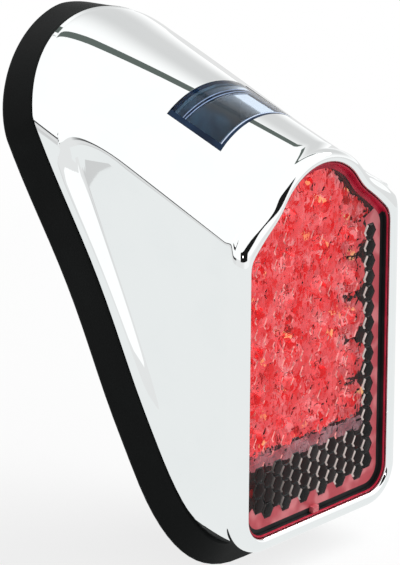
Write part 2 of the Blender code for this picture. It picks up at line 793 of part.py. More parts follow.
def prism_cells():
    """Centres of the whole hexagons that fit inside the lens's flat border strip."""
    field = front_outline(FIELD_OFFSET)
    corner = PRISM_PITCH / math.sqrt(3)
    column_pitch = 1.5 * corner
    columns = int(OPENING_HALF_WIDTH / column_pitch) + 1
    rows = int((ARCH_CENTRE + ARCH_RADIUS) / PRISM_PITCH) + 1
    cells = []
    for column in range(-columns, columns + 1):
        shift = PRISM_PITCH / 2 * (column % 2)
        for row in range(rows):
            x = column * column_pitch
            z = OPENING_BOTTOM + row * PRISM_PITCH + shift
            if all(inside_outline(point, field) for point in hexagon(x, z, corner)):
                cells.append((x, z))
    return cells


def lens_mesh():
    """The lens: hexagons on a sunk face, a raised rim round it and a skirt round its back."""
    shape = bmesh.new()
    corner = PRISM_PITCH / math.sqrt(3)
    face = -LENS_FACE
    for x, z in prism_cells():
        shape.faces.new([shape.verts.new((*point, face)) for point in hexagon(x, z, corner)])
    bmesh.ops.remove_doubles(shape, verts=shape.verts, dist=PRISM_PITCH / 100)
    cells = list(shape.faces)
    field_edges = [edge for edge in shape.edges if edge.is_boundary]
    rows = []
    heights = ((RIM_INNER, face), (RIM_INNER, -LENS_RIM_FACE), (-CLEARANCE, -LENS_RIM_FACE))
    heights += ((-CLEARANCE, -LENS_SKIRT_END), (SKIRT_INNER, -LENS_SKIRT_END), (SKIRT_INNER, -LENS_BACK))
    for offset, height in heights:
        rows.append([shape.verts.new(point) for point in flat_ring(front_outline(offset), height)])
    rim = rows[0]
    rim_edges = [shape.edges.new((a, b)) for a, b in zip(rim, rim[1:] + rim[:1])]
    bmesh.ops.triangle_fill(
        shape, use_beauty=True, edges=field_edges + rim_edges, normal=(0.0, 0.0, 1.0)
    )
    for near, far in zip(rows, rows[1:]):
        for i in range(len(near)):
            j = (i + 1) % len(near)
            shape.faces.new((near[i], near[j], far[j], far[i]))
    shape.faces.new(rows[-1])
    bmesh.ops.recalc_face_normals(shape, faces=shape.faces)
    bmesh.ops.inset_individual(
        shape, faces=cells, thickness=PRISM_BEVEL, depth=PRISM_HEIGHT, use_even_offset=True
    )
    return finish_mesh("lens", shape)


def make_lens():
    lens = add_object("lens", lens_mesh(), FRONT, RED_LENS)
    for number, (x, z) in enumerate(lens_screw_places(), 1):
        name = f"lens_boss_{number}"
        top = -LENS_BACK + LENS_PLATE / 2
        boss = cone_mesh(name, LENS_BOSS_RADIUS, LENS_BOSS_RADIUS, -TRAY_BACK, top)
        join(lens, add_object(name, boss, FRONT, None, (x, z, 0.0)))
        name = f"lens_boss_hole_{number}"
        deep = -LENS_BACK - CLEARANCE
        drill(lens, name, LENS_SCREW_HOLE, -TRAY_BACK - CUT_MARGIN, deep, FRONT, (x, z, 0.0))
    half = GATE_TAB_WIDTH / 2
    tab_low = OPENING_BOTTOM + CLEARANCE + LENS_RIM_WIDTH / 2
    low = (-half, tab_low, -LENS_FACE - LENS_PLATE / 2)
    high = (half, tab_low + STRIP_WIDTH, -LENS_FACE + GATE_TAB_HEIGHT)
    join(lens, add_object("gate_tab", box_mesh("gate_tab", low, high), FRONT, None))


def make_seal():
    outer = front_outline(-CLEARANCE)
    inner = front_outline(SKIRT_INNER)
    low = -SEAL_FRONT - SEAL_THICKNESS
    add_object("lens_seal", frame_mesh("lens_seal", outer, inner, low, -SEAL_FRONT), FRONT, RUBBER)


def lamp_places():
    """Four columns of lamps, two more in the arch and one at its top."""
    outer = 1.5 * LAMP_COLUMN_PITCH
    inner = 0.5 * LAMP_COLUMN_PITCH
    places = []
    for row in range(LAMP_ROWS):
        z = LAMP_FIRST_ROW + row * LAMP_ROW_PITCH
        places += [(x, z) for x in (-outer, -inner, inner, outer)]
    arch_row = LAMP_FIRST_ROW + LAMP_ROWS * LAMP_ROW_PITCH
    places += [(-inner, arch_row), (inner, arch_row), (0.0, arch_row + LAMP_TOP_SPACING)]
    return places


def make_tray():
    outline = front_outline(STACK_OFFSET)
    mesh = prism_mesh("reflector_tray", outline, -TRAY_BACK, -TRAY_FRONT)
    tray = add_object("reflector_tray", mesh, FRONT, BLACK_PLASTIC)
    slope = (CUP_MOUTH - CUP_THROAT) / TRAY_THICKNESS
    over = slope * CUT_MARGIN / 4
    for number, (x, z) in enumerate(lamp_places(), 1):
        name = f"cup_{number:02d}"
        low = -TRAY_BACK - CUT_MARGIN / 4
        high = -TRAY_FRONT + CUT_MARGIN / 4
        cup = cone_mesh(name, CUP_THROAT - over, CUP_MOUTH + over, low, high, CUP_STEPS)
        cut(tray, add_object(name, cup, FRONT, None, (x, z, 0.0)))
    for number, (x, z) in enumerate(lens_screw_places(), 1):
        name = f"tray_boss_hole_{number}"
        low = -TRAY_BACK - CUT_MARGIN
        radius = LENS_BOSS_RADIUS + CLEARANCE
        drill(tray, name, radius, low, -TRAY_FRONT + CUT_MARGIN, FRONT, (x, z, 0.0))


def make_board():
    mesh = prism_mesh("led_board", front_outline(STACK_OFFSET), -BOARD_BACK, -BOARD_FRONT)
    board = add_object("led_board", mesh, FRONT, BOARD_GREEN)
    for number, (x, z) in enumerate(lens_screw_places(), 1):
        name = f"board_hole_{number}"
        low = -BOARD_BACK - CUT_MARGIN
        drill(board, name, LENS_SCREW_HOLE, low, -BOARD_FRONT + CUT_MARGIN, FRONT, (x, z, 0.0))


def lamp_profile():
    """Half section of a domed lamp that stands on its flange."""
    dome_base = LAMP_HEIGHT - LAMP_DOME
    points = [(0.0, LAMP_HEIGHT)]
    for k in range(1, DOME_STEPS + 1):
        angle = math.pi / 2 * (1 - k / DOME_STEPS)
        points.append((LAMP_RADIUS * math.cos(angle), dome_base + LAMP_DOME * math.sin(angle)))
    points += [(LAMP_RADIUS, LAMP_FLANGE), (LAMP_FLANGE_RADIUS, LAMP_FLANGE)]
    points += [(LAMP_FLANGE_RADIUS, 0.0), (0.0, 0.0)]
    return points


def make_lamps():
    for number, (x, z) in enumerate(lamp_places(), 1):
        place = (x, z, -TRAY_BACK)
        turned(f"tail_led_{number:02d}", lamp_profile(), FRONT, RED_LAMP, place, LAMP_STEPS)


def connector_low():
    return CONNECTOR_UP - CONNECTOR_HEIGHT / 2


def connector_high():
    return CONNECTOR_UP + CONNECTOR_HEIGHT / 2


def make_board_parts():
    front = BOARD_BACK + CLEARANCE
    low = (-CONNECTOR_WIDTH / 2, front, connector_low())
    high = (CONNECTOR_WIDTH / 2, front + CONNECTOR_LENGTH, connector_high())
    mesh = box_mesh("board_connector", low, high)
    add_object("board_connector", mesh, FACE, BLACK_PLASTIC)
    half = REGULATOR_SIDE / 2
    low = (-half, front, REGULATOR_UP - half)
    high = (half, front + REGULATOR_THICKNESS, REGULATOR_UP + half)
    mesh = box_mesh("current_regulator", low, high)
    add_object("current_regulator", mesh, FACE, BLACK_PLASTIC)


def screw_profile(shaft, length, head, head_height):
    """Half section of a pan-head screw whose shaft points up from its head."""
    return [
        (0.0, length),
        (shaft, length),
        (shaft, 0.0),
        (head, 0.0),
        (head, -0.6 * head_height),
        (0.8 * head, -head_height),
        (0.0, -head_height),
    ]


def make_lens_screws():
    seat = WEB_BACK + CLEARANCE
    length = WEB_THICKNESS + LENS_SCREW_BITE
    profile = screw_profile(LENS_SCREW_RADIUS, length, LENS_SCREW_HEAD, LENS_SCREW_HEAD_HEIGHT)
    for number, (x, z) in enumerate(lens_screw_places(), 1):
        turned(f"lens_screw_{number}", profile, FRONT, ZINC_STEEL, (x, z, -seat), LAMP_STEPS)


def make_lead():
    """The wire from the lamp board's connector up to the plate lamp board."""
    start = Vector((LEAD_X, BOARD_BACK + 2 * CLEARANCE + CONNECTOR_LENGTH, CONNECTOR_UP))
    end = Vector((LEAD_X, WINDOW_MIDDLE, POCKET_FLOOR))
    reach = (end - start).length / 2
    curve = bpy.data.curves.new("jumper_lead_path", "CURVE")
    curve.dimensions = "3D"
    curve.resolution_u = 8
    curve.bevel_depth = LEAD_RADIUS
    curve.bevel_resolution = 1
    curve.use_fill_caps = True
    spline = curve.splines.new("BEZIER")
    spline.bezier_points.add(1)
    first, last = spline.bezier_points
    first.co = start
    first.handle_left = start - Vector((0.0, reach, 0.0))
    first.handle_right = start + Vector((0.0, reach, 0.0))
    last.co = end
    last.handle_left = end - Vector((0.0, 0.0, reach))
    last.handle_right = end + Vector((0.0, 0.0, reach))
    path = bpy.data.objects.new("jumper_lead_path", curve)
    PARTS.objects.link(path)
    bpy.context.view_layer.update()
    graph = bpy.context.evaluated_depsgraph_get()
    mesh = bpy.data.meshes.new_from_object(path.evaluated_get(graph))
    bpy.data.objects.remove(path, do_unlink=True)
    shape = bmesh.new()
    shape.from_mesh(mesh)
    bmesh.ops.remove_doubles(shape, verts=shape.verts, dist=LEAD_RADIUS / 100)
    add_object("jumper_lead", finish_mesh("jumper_lead", shape), FACE, LEAD_SHEATH)


# Base plate, studs, grommet, screws and pad


def plate_outline():
    """The base plate's outline, which clears the cavity's walls at its outer and inner faces."""
    centre = Vector((0.0, PAD_MIDDLE))
    outline = []
    for low, web in zip(body_outline(PLATE_INSET), face_ring(CAVITY_OFFSET - 3 * CLEARANCE, WEB_BACK)):
        far = base_place(web)
        high = low.lerp(far.xy, PLATE_TOP / far.z)
        outline.append(min(low, high, key=lambda point: (point - centre).length))
    return outline


def make_base_plate():
    mesh = prism_mesh("base_plate", plate_outline(), CLEARANCE, PLATE_TOP)
    plate = add_object("base_plate", mesh, BASE, ZINC_STEEL)
    low = -CUT_MARGIN
    high = PLATE_TOP + CUT_MARGIN
    for number, (x, s) in enumerate(base_boss_places(), 1):
        drill(plate, f"plate_hole_{number}", BASE_SCREW_HOLE, low, high, BASE, (x, s, 0.0))
    for number, s in enumerate(STUD_PLACES, 1):
        radius = STUD_RADIUS + CLEARANCE
        drill(plate, f"plate_stud_hole_{number}", radius, low, high, BASE, (0.0, s, 0.0))
    drill(plate, "plate_wire_hole", WIRE_HOLE_RADIUS, low, high, BASE, (0.0, WIRE_PLACE, 0.0))


def make_base_screws():
    length = BASE_PLATE_THICKNESS + BASE_SCREW_BITE
    profile = screw_profile(BASE_SCREW_RADIUS, length, BASE_SCREW_HEAD, BASE_SCREW_HEAD_HEIGHT)
    for number, (x, s) in enumerate(base_boss_places(), 1):
        turned(f"base_screw_{number}", profile, BASE, ZINC_STEEL, (x, s, 0.0), LAMP_STEPS)


def make_studs():
    seat = PLATE_TOP + CLEARANCE
    tip = PAD_BACK - STUD_REACH
    chamfer = STUD_RADIUS / 4
    profile = [
        (0.0, seat + STUD_HEAD_HEIGHT),
        (STUD_HEAD_RADIUS, seat + STUD_HEAD_HEIGHT),
        (STUD_HEAD_RADIUS, seat),
        (STUD_RADIUS, seat),
        (STUD_RADIUS, tip + chamfer),
        (STUD_RADIUS - chamfer, tip),
        (0.0, tip),
    ]
    for name, s in zip(("mounting_stud_lower", "mounting_stud_upper"), STUD_PLACES):
        turned(name, profile, BASE, ZINC_STEEL, (0.0, s, 0.0))


def make_grommet():
    """A rubber grommet whose groove holds the rim of the base plate's wire hole."""
    neck = WIRE_HOLE_RADIUS - CLEARANCE
    flange = WIRE_HOLE_RADIUS + GROMMET_FLANGE
    top = PLATE_TOP + CLEARANCE
    low = 0.0
    profile = [
        (GROMMET_BORE, top + GROMMET_FLANGE_HEIGHT),
        (flange, top + GROMMET_FLANGE_HEIGHT),
        (flange, top),
        (neck, top),
        (neck, low),
        (flange, low),
        (flange, low - GROMMET_FLANGE_HEIGHT),
        (GROMMET_BORE, low - GROMMET_FLANGE_HEIGHT),
    ]
    turned("wire_grommet", profile, BASE, RUBBER, (0.0, WIRE_PLACE, 0.0), closed=True)


def make_pad():
    top = base_outline(-PAD_LEDGE)
    foot = pad_outline()
    rings = [flat_ring(base_outline(-PAD_LEDGE + PAD_EDGE_ROUND / 2), PAD_FRONT)]
    rings.append(flat_ring(top, PAD_FRONT - PAD_EDGE_ROUND))
    rings.append(flat_ring(foot, PAD_BACK + PAD_EDGE_ROUND))
    rings.append(flat_ring(foot, PAD_BACK))
    pad = add_object("base_gasket", loft_mesh("base_gasket", rings, False), BASE, RUBBER)
    low = PAD_BACK - CUT_MARGIN
    high = PAD_FRONT + CUT_MARGIN
    for number, s in enumerate(STUD_PLACES, 1):
        radius = STUD_RADIUS + 2 * CLEARANCE
        drill(pad, f"pad_stud_hole_{number}", radius, low, high, BASE, (0.0, s, 0.0))
    wire = WIRE_HOLE_RADIUS + GROMMET_FLANGE + 2 * CLEARANCE
    drill(pad, "pad_wire_hole", wire, low, high, BASE, (0.0, WIRE_PLACE, 0.0))
    sunk = -BASE_SCREW_HEAD_HEIGHT - CLEARANCE
    for number, (x, s) in enumerate(base_boss_places(), 1):
        radius = BASE_SCREW_HEAD + 2 * CLEARANCE
        drill(pad, f"pad_screw_pocket_{number}", radius, sunk, high, BASE, (x, s, 0.0))


make_housing()
make_window()
make_plate_lamp()
make_lens()
make_seal()
make_tray()
make_board()
make_lamps()
make_board_parts()
make_lens_screws()
make_lead()
make_base_plate()
make_base_screws()
make_studs()
make_grommet()
make_pad()
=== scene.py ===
"""Studio scene of a motorcycle tail light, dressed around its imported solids.

Shapes are given in face coordinates: x to the right as seen from behind the vehicle, y into the
light from the lens face, z up. The slanted base has its own: x, s up along it, h forward of it.
"""

import functools
import logging
import math
import random
from dataclasses import dataclass
from enum import Enum

import bmesh
import bpy
from mathutils import Matrix, Vector


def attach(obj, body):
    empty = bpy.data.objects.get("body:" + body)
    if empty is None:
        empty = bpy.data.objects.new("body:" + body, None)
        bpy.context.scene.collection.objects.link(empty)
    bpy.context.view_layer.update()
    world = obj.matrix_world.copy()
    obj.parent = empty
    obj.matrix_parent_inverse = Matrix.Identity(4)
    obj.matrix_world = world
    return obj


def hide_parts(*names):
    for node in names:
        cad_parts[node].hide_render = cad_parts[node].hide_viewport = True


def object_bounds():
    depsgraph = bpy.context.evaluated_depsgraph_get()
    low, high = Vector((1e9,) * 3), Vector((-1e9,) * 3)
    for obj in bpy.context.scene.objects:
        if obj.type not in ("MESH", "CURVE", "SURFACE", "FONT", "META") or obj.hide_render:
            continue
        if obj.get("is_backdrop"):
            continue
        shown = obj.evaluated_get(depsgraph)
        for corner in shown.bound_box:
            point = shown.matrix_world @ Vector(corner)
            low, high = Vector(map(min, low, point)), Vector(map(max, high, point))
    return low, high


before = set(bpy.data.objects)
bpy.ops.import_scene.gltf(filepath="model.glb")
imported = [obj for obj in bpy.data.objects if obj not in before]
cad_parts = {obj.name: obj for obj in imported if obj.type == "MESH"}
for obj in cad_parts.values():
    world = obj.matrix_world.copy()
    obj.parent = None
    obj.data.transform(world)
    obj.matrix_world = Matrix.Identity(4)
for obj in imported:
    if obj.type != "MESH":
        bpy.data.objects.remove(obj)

LOG = logging.getLogger("tail_light")
FLOOR_GAP = 0.0005
RAY_KINDS = ("Camera", "Glossy", "Transmission")
Colour = tuple[float, float, float]
Point = tuple[float, float]
Step = tuple[float, float, float, float]
Tones = tuple[tuple[float, Colour], ...]
Shares = tuple[float, ...]
Ring = list[Vector]
Row = list[bmesh.types.BMVert]
Rulings = list[tuple[Vector, Vector]]


# Shader graphs


@dataclass(frozen=True)
class Grain:
    """A pattern over a surface: its lumps per metre, octaves and stretch, and what it does there."""

    scale: float
    detail: float = 2.0
    rough: float = 0.0
    bump: float = 0.0
    depth: float = 0.0001
    stretch: Colour = (1.0, 1.0, 1.0)


class Wire:
    """One output socket of a shader graph, with arithmetic on its value."""

    def __init__(self, graph: "Graph", socket: bpy.types.NodeSocket) -> None:
        """Keeps the graph and the socket."""
        self.graph = graph
        self.socket = socket

    def _math(self, operation: str, *values: "Wire | float") -> "Wire":
        """The result of a Math node on wires or numbers."""
        return self.graph.node("ShaderNodeMath", {"operation": operation}, dict(enumerate(values)))

    def __add__(self, other: "Wire | float") -> "Wire":
        """Sum."""
        return self._math("ADD", self, other)

    __radd__ = __add__

    def __sub__(self, other: "Wire | float") -> "Wire":
        """Difference."""
        return self._math("SUBTRACT", self, other)

    def __rsub__(self, other: float) -> "Wire":
        """Difference from a number."""
        return self._math("SUBTRACT", other, self)

    def __mul__(self, other: "Wire | float") -> "Wire":
        """Product."""
        return self._math("MULTIPLY", self, other)

    __rmul__ = __mul__

    def __abs__(self) -> "Wire":
        """Absolute value."""
        return self._math("ABSOLUTE", self)

    def root(self) -> "Wire":
        """Square root."""
        return self._math("SQRT", self)

    def most(self, other: "Wire | float") -> "Wire":
        """The larger of two values."""
        return self._math("MAXIMUM", self, other)

    def step(self, low: float, high: float, first: float = 0.0, last: float = 1.0) -> "Wire":
        """A smooth step.

        Args:
            low: Value at which the step starts.
            high: Value at which it ends.
            first: Result before the step.
            last: Result after it.

        Returns:
            The stepped value.
        """
        settings = {"interpolation_type": "SMOOTHSTEP"}
        inputs = {"Value": self, "From Min": low, "From Max": high, "To Min": first, "To Max": last}
        return self.graph.node("ShaderNodeMapRange", settings, inputs)


class Graph:
    """A node tree being written."""

    def __init__(self, tree: bpy.types.NodeTree) -> None:
        """Starts from an empty tree."""
        self.tree = tree
        tree.nodes.clear()

    def node(
        self,
        kind: str,
        settings: dict[str, object] | None = None,
        inputs: dict[str | int, object] | None = None,
        output: str | int = 0,
    ) -> Wire:
        """Adds any node.

        Args:
            kind: The node's type.
            settings: Its properties, set first. A ramp's stops go under "stops".
            inputs: Its sockets by name or number, as wires or plain values. Colours have three parts.
            output: Name or number of the output to return.

        Returns:
            That output.
        """
        made = self.tree.nodes.new(kind)
        for key, value in (settings or {}).items():
            if key == "stops":
                self._set_stops(made.color_ramp, value)
            else:
                setattr(made, key, value)
        for key, value in (inputs or {}).items():
            socket = made.inputs[key]
            if isinstance(value, Wire):
                self.tree.links.new(value.socket, socket)
            else:
                socket.default_value = (*value, 1.0) if socket.type == "RGBA" else value
        return Wire(self, made.outputs[output] if made.outputs else None)

    @staticmethod
    def _set_stops(ramp: bpy.types.ColorRamp, stops: Tones) -> None:
        """Gives a colour ramp its stops.

        Args:
            ramp: The ramp.
            stops: Positions and colours in order, each held until the next.
        """
        ramp.interpolation = "CONSTANT"
        while len(ramp.elements) < len(stops):
            ramp.elements.new(1.0)
        for element, (position, colour) in zip(ramp.elements, stops):
            element.position = position
            element.color = (*colour, 1.0)

    def place(self) -> Wire:
        """Object coordinates."""
        return self.node("ShaderNodeTexCoord", output="Object")

    def axes(self, vector: Wire) -> tuple[Wire, Wire, Wire]:
        """The three parts of a vector."""
        made = self.node("ShaderNodeSeparateXYZ", {}, {"Vector": vector}).socket.node
        return tuple(Wire(self, output) for output in made.outputs)

    def stretched(self, scale: Colour) -> Wire:
        """Object coordinates with each part multiplied."""
        inputs = {0: self.place(), 1: scale}
        return self.node("ShaderNodeVectorMath", {"operation": "MULTIPLY"}, inputs)

    def noise(self, grain: Grain) -> Wire:
        """Soft noise round 0.5."""
        inputs = {"Vector": self.stretched(grain.stretch), "Scale": grain.scale, "Detail": grain.detail}
        return self.node("ShaderNodeTexNoise", {}, inputs, "Fac")

    def shards(self, grain: Grain, output: str) -> Wire:
        """Angular cells, as a colour for each or as the distance from its middle."""
        inputs = {"Vector": self.stretched(grain.stretch), "Scale": grain.scale, "Randomness": 1.0}
        return self.node("ShaderNodeTexVoronoi", {"distance": "MANHATTAN"}, inputs, output)

    def ramp(self, value: Wire, stops: Tones) -> Wire:
        """Colours from a value."""
        return self.node("ShaderNodeValToRGB", {"stops": stops}, {"Fac": value})

    def mix(self, share: Wire, first: Wire | Colour, second: Wire | Colour) -> Wire:
        """Two colours mixed by a share."""
        inputs = {0: share, 6: first, 7: second}
        return self.node("ShaderNodeMix", {"data_type": "RGBA"}, inputs, 2)

    def bump(self, height: Wire, grain: Grain) -> Wire:
        """A normal from the height of a grain."""
        inputs = {"Strength": grain.bump, "Distance": grain.depth, "Height": height}
        return self.node("ShaderNodeBump", {}, inputs)

    def rays(self) -> tuple[Wire, Wire, Wire]:
        """Whether a ray comes from the eye, from a mirror or through glass."""
        made = self.node("ShaderNodeLightPath").socket.node.outputs
        return tuple(Wire(self, made[f"Is {kind} Ray"]) for kind in RAY_KINDS)

    def principled(self, sockets: dict[str, object]) -> Wire:
        """A Principled shader, from its sockets by name."""
        return self.node("ShaderNodeBsdfPrincipled", {}, sockets)

    def glow(self, colour: Colour) -> Wire:
        """A shader that shines with one colour."""
        return self.node("ShaderNodeEmission", {}, {"Color": colour})

    def mix_shaders(self, share: Wire, first: Wire, second: Wire) -> Wire:
        """Two shaders mixed by a share."""
        return self.node("ShaderNodeMixShader", {}, {0: share, 1: first, 2: second})

    def end(self, shader: Wire, kind: str = "ShaderNodeOutputMaterial") -> None:
        """Ends the graph in a shader."""
        self.node(kind, {}, {"Surface": shader})


def new_graph(name: str) -> tuple[bpy.types.Material, Graph]:
    """A new material.

    Args:
        name: The material's name.

    Returns:
        The material and its graph.
    """
    material = bpy.data.materials.new(name)
    material.use_nodes = True
    return material, Graph(material.node_tree)


# Finishes


@dataclass(frozen=True)
class CloudedFinish:
    """A finish whose colour drifts between two shades, with a finer grain where it has one."""

    name: str
    colour: Colour
    shade: Colour
    roughness: float
    cloud: Grain = Grain(90.0)
    fade: Point = (0.4, 0.7)
    grain: Grain | None = None
    sockets: tuple[tuple[str, float], ...] = ()

    def material(self) -> bpy.types.Material:
        """Builds the finish.

        Returns:
            The material.
        """
        material, graph = new_graph(self.name)
        cloud = graph.noise(self.cloud)
        rough = self.roughness + self.cloud.rough * cloud
        sockets = dict(self.sockets)
        sockets["Base Color"] = graph.mix(cloud.step(*self.fade), self.colour, self.shade)
        if self.grain:
            marks = graph.noise(self.grain)
            rough = rough + self.grain.rough * marks
            sockets["Normal"] = graph.bump(marks, self.grain)
        sockets["Roughness"] = rough
        graph.end(graph.principled(sockets))
        return material


METAL = (("Metallic", 1.0),)
CLEAR = (("IOR", 1.25), ("Transmission Weight", 1.0))
ERODED = Grain(3000.0, 2.0, 0.15, 0.2)
BLASTED = Grain(2500.0, 2.0, 0.2, 0.15)
ROLLED = Grain(400.0, 3.0, 0.2, 0.15, 0.00005, (1.0, 6.0, 6.0))
SOFT = Grain(1800.0, 3.0, 0.0, 0.25, 0.00015)
FLOW = Grain(120.0, 2.0, 0.02)
RED_FADE = (0.4, 0.65)


def gloss(level: float) -> tuple[tuple[str, float], ...]:
    """The socket setting for how strongly a finish mirrors."""
    return (("Specular IOR Level", level),)


def clear_red(name: str, colour: Colour, shade: Colour) -> CloudedFinish:
    """Clear red moulded plastic."""
    return CloudedFinish(name, colour, shade, 0.01, FLOW, RED_FADE, sockets=CLEAR)


def frosted_red(name: str, colour: Colour, shade: Colour, roughness: float) -> CloudedFinish:
    """The same plastic where light is held in it, at the rim or where the mould is sand-blasted."""
    cloud = Grain(160.0, 1.0)
    return CloudedFinish(name, colour, shade, roughness, cloud, RED_FADE, BLASTED, gloss(0.2))


def moulded(name: str, colour: Colour, shade: Colour, roughness: float) -> CloudedFinish:
    """Moulded plastic with a fine spark-eroded grain."""
    least = roughness - 0.5 * ERODED.rough
    return CloudedFinish(name, colour, shade, least, grain=ERODED, sockets=gloss(0.15))


@dataclass(frozen=True)
class ChromeFinish:
    """Bright chrome plate with a trace of polishing haze."""

    colour: Colour = (0.905, 0.925, 0.925)
    haze: Colour = (0.893, 0.915, 0.916)
    roughness: float = 0.012
    cloud: Grain = Grain(60.0, 3.0, 0.012)
    fade: Point = (0.45, 0.7)

    def material(self) -> bpy.types.Material:
        """Builds the finish.

        Returns:
            The material.
        """
        material, graph = new_graph("chrome_plate")
        cloud = graph.noise(self.cloud).step(*self.fade)
        graph.end(graph.principled({
            "Base Color": graph.mix(cloud, self.colour, self.haze),
            "Metallic": 1.0,
            "Roughness": self.roughness + self.cloud.rough * cloud,
        }))
        return material


@dataclass(frozen=True)
class PaintedHighlightFlankFinish:
    """Painted highlight on a prism's flank where it catches the light, paler towards the lens's right."""

    dark: Colour = (0.030, 0.024, 0.023)
    pale: Colour = (0.84, 0.72, 0.68)
    left: float = -0.026
    right: float = 0.004
    least: float = 0.75
    roughness: float = 0.3
    specular: float = 0.2
    cloud: Grain = Grain(160.0, 1.0, 0.2)

    def material(self) -> bpy.types.Material:
        """Builds the finish.

        Returns:
            The material.
        """
        material, graph = new_graph("painted_highlight_flank")
        cloud = graph.noise(self.cloud)
        across = graph.axes(graph.place())[0].step(self.left, self.right)
        share = across * (self.least + (1.0 - self.least) * cloud)
        graph.end(graph.principled({
            "Base Color": graph.mix(share, self.dark, self.pale),
            "Roughness": self.roughness + self.cloud.rough * cloud,
            "Specular IOR Level": self.specular,
        }))
        return material


@dataclass(frozen=True)
class FacetedRedFinish:
    """The lens's inner face, moulded in small facets that break up the light of the lamps."""

    colour: Colour = (0.86, 0.06, 0.065)
    streak: Colour = (0.78, 0.03, 0.035)
    roughness: float = 0.01
    facets: Grain = Grain(420.0, rough=0.02, bump=1.0, depth=0.0003)
    low: float = -0.0460
    high: float = -0.0400

    def material(self) -> bpy.types.Material:
        """Builds the finish.

        Returns:
            The material.
        """
        material, graph = new_graph("faceted_red_lens")
        height = graph.axes(graph.place())[2]
        facets = graph.shards(self.facets, "Distance") * height.step(self.low, self.high)
        flow = graph.noise(FLOW).step(*RED_FADE)
        sockets = dict(CLEAR)
        sockets["Base Color"] = graph.mix(flow, self.colour, self.streak)
        sockets["Roughness"] = self.roughness + self.facets.rough * facets
        sockets["Normal"] = graph.bump(facets, self.facets)
        graph.end(graph.principled(sockets))
        return material


@dataclass(frozen=True)
class MosaicFinish:
    """Metallised plastic glowing in shards: painted light on the reflector, the lamps' own glow on the
    domes.
    """

    name: str
    tones: Tones
    strength: float = 0.9
    colour: Colour = (0.5, 0.48, 0.47)
    roughness: float = 0.2
    shards: Grain = Grain(700.0, rough=0.1, stretch=(1.0, 0.4, 0.55))

    def material(self) -> bpy.types.Material:
        """Builds the finish.

        Returns:
            The material.
        """
        material, graph = new_graph(self.name)
        pick = graph.axes(graph.shards(self.shards, "Color"))[0]
        graph.end(graph.principled({
            "Base Color": self.colour,
            "Metallic": 1.0,
            "Roughness": self.roughness + self.shards.rough * pick,
            "Emission Color": graph.ramp(pick, self.tones),
            "Emission Strength": self.strength,
        }))
        return material


# Painted light on the reflector: red shards, pale pink highlights and yellow glints.
LIT_TONES = (
    (0.0, (0.10, 0.0, 0.0)),
    (0.03, (0.56, 0.03, 0.08)),
    (0.18, (0.62, 0.6, 0.6)),
    (0.34, (0.68, 1.5, 1.5)),
    (0.62, (0.73, 2.2, 2.2)),
    (0.92, (0.80, 4.2, 4.0)),
    (0.985, (1.0, 7.5, 3.0)),
)
LAMP_TONES = (
    (0.0, (0.56, 0.03, 0.08)),
    (0.30, (0.64, 0.8, 0.8)),
    (0.55, (0.70, 1.7, 1.7)),
    (0.90, (0.80, 4.2, 4.0)),
    (0.97, (1.0, 7.5, 3.0)),
)
# Painted glow for the stray light on the rib below the lamps.
DIM_TONES = ((0.0, (0.22, 1.9, 2.0)), (0.35, (0.28, 2.5, 2.6)), (0.7, (0.33, 3.2, 3.3)))


@dataclass(frozen=True)
class LampAndPaintedGlowFinish:
    """Plastic that glows in soft patches: a lamp's own light, or a painted glint on a prism's flank."""

    name: str
    colour: Colour
    glow: Colour
    strength: float
    roughness: float = 0.08
    dim: float = 0.35
    cloud: Grain = Grain(900.0, 1.0, 0.1)
    fade: Point = (0.35, 0.65)

    def material(self) -> bpy.types.Material:
        """Builds the finish.

        Returns:
            The material.
        """
        material, graph = new_graph(self.name)
        cloud = graph.noise(self.cloud)
        dim = tuple(self.dim * part for part in self.glow)
        graph.end(graph.principled({
            "Base Color": self.colour,
            "Roughness": self.roughness + self.cloud.rough * cloud,
            "Emission Color": graph.mix(cloud.step(*self.fade), self.glow, dim),
            "Emission Strength": self.strength,
        }))
        return material


@dataclass(frozen=True)
class PocketFinish:
    """Slate-coloured satin plastic of the lamp pocket, with a band of painted shadow across it."""

    colour: Colour = (0.040, 0.105, 0.155)
    shade: Colour = (0.014, 0.045, 0.075)
    painted_shadow: Colour = (0.004, 0.010, 0.012)
    painted_shadow_slope: float = 0.458
    painted_shadow_height: float = 0.0593
    painted_shadow_edge: Step = (0.0010, 0.0038, 1.0, 0.0)
    painted_shadow_start: Point = (-0.008, 0.0)
    roughness: float = 0.3
    cloud: Grain = Grain(140.0, 2.0, 0.1)
    fade: Point = (0.35, 0.65)

    def material(self) -> bpy.types.Material:
        """Builds the finish.

        Returns:
            The material.
        """
        material, graph = new_graph("slate_pocket")
        cloud = graph.noise(self.cloud)
        across, _, height = graph.axes(graph.place())
        # A dark band of painted shadow across the pocket's floor.
        away = abs(height + self.painted_shadow_slope * across - self.painted_shadow_height)
        painted_shadow = away.step(*self.painted_shadow_edge) * across.step(*self.painted_shadow_start)
        satin = graph.mix(cloud.step(*self.fade), self.colour, self.shade)
        graph.end(graph.principled({
            "Base Color": graph.mix(painted_shadow, satin, self.painted_shadow),
            "Roughness": self.roughness + self.cloud.rough * cloud,
        }))
        return material


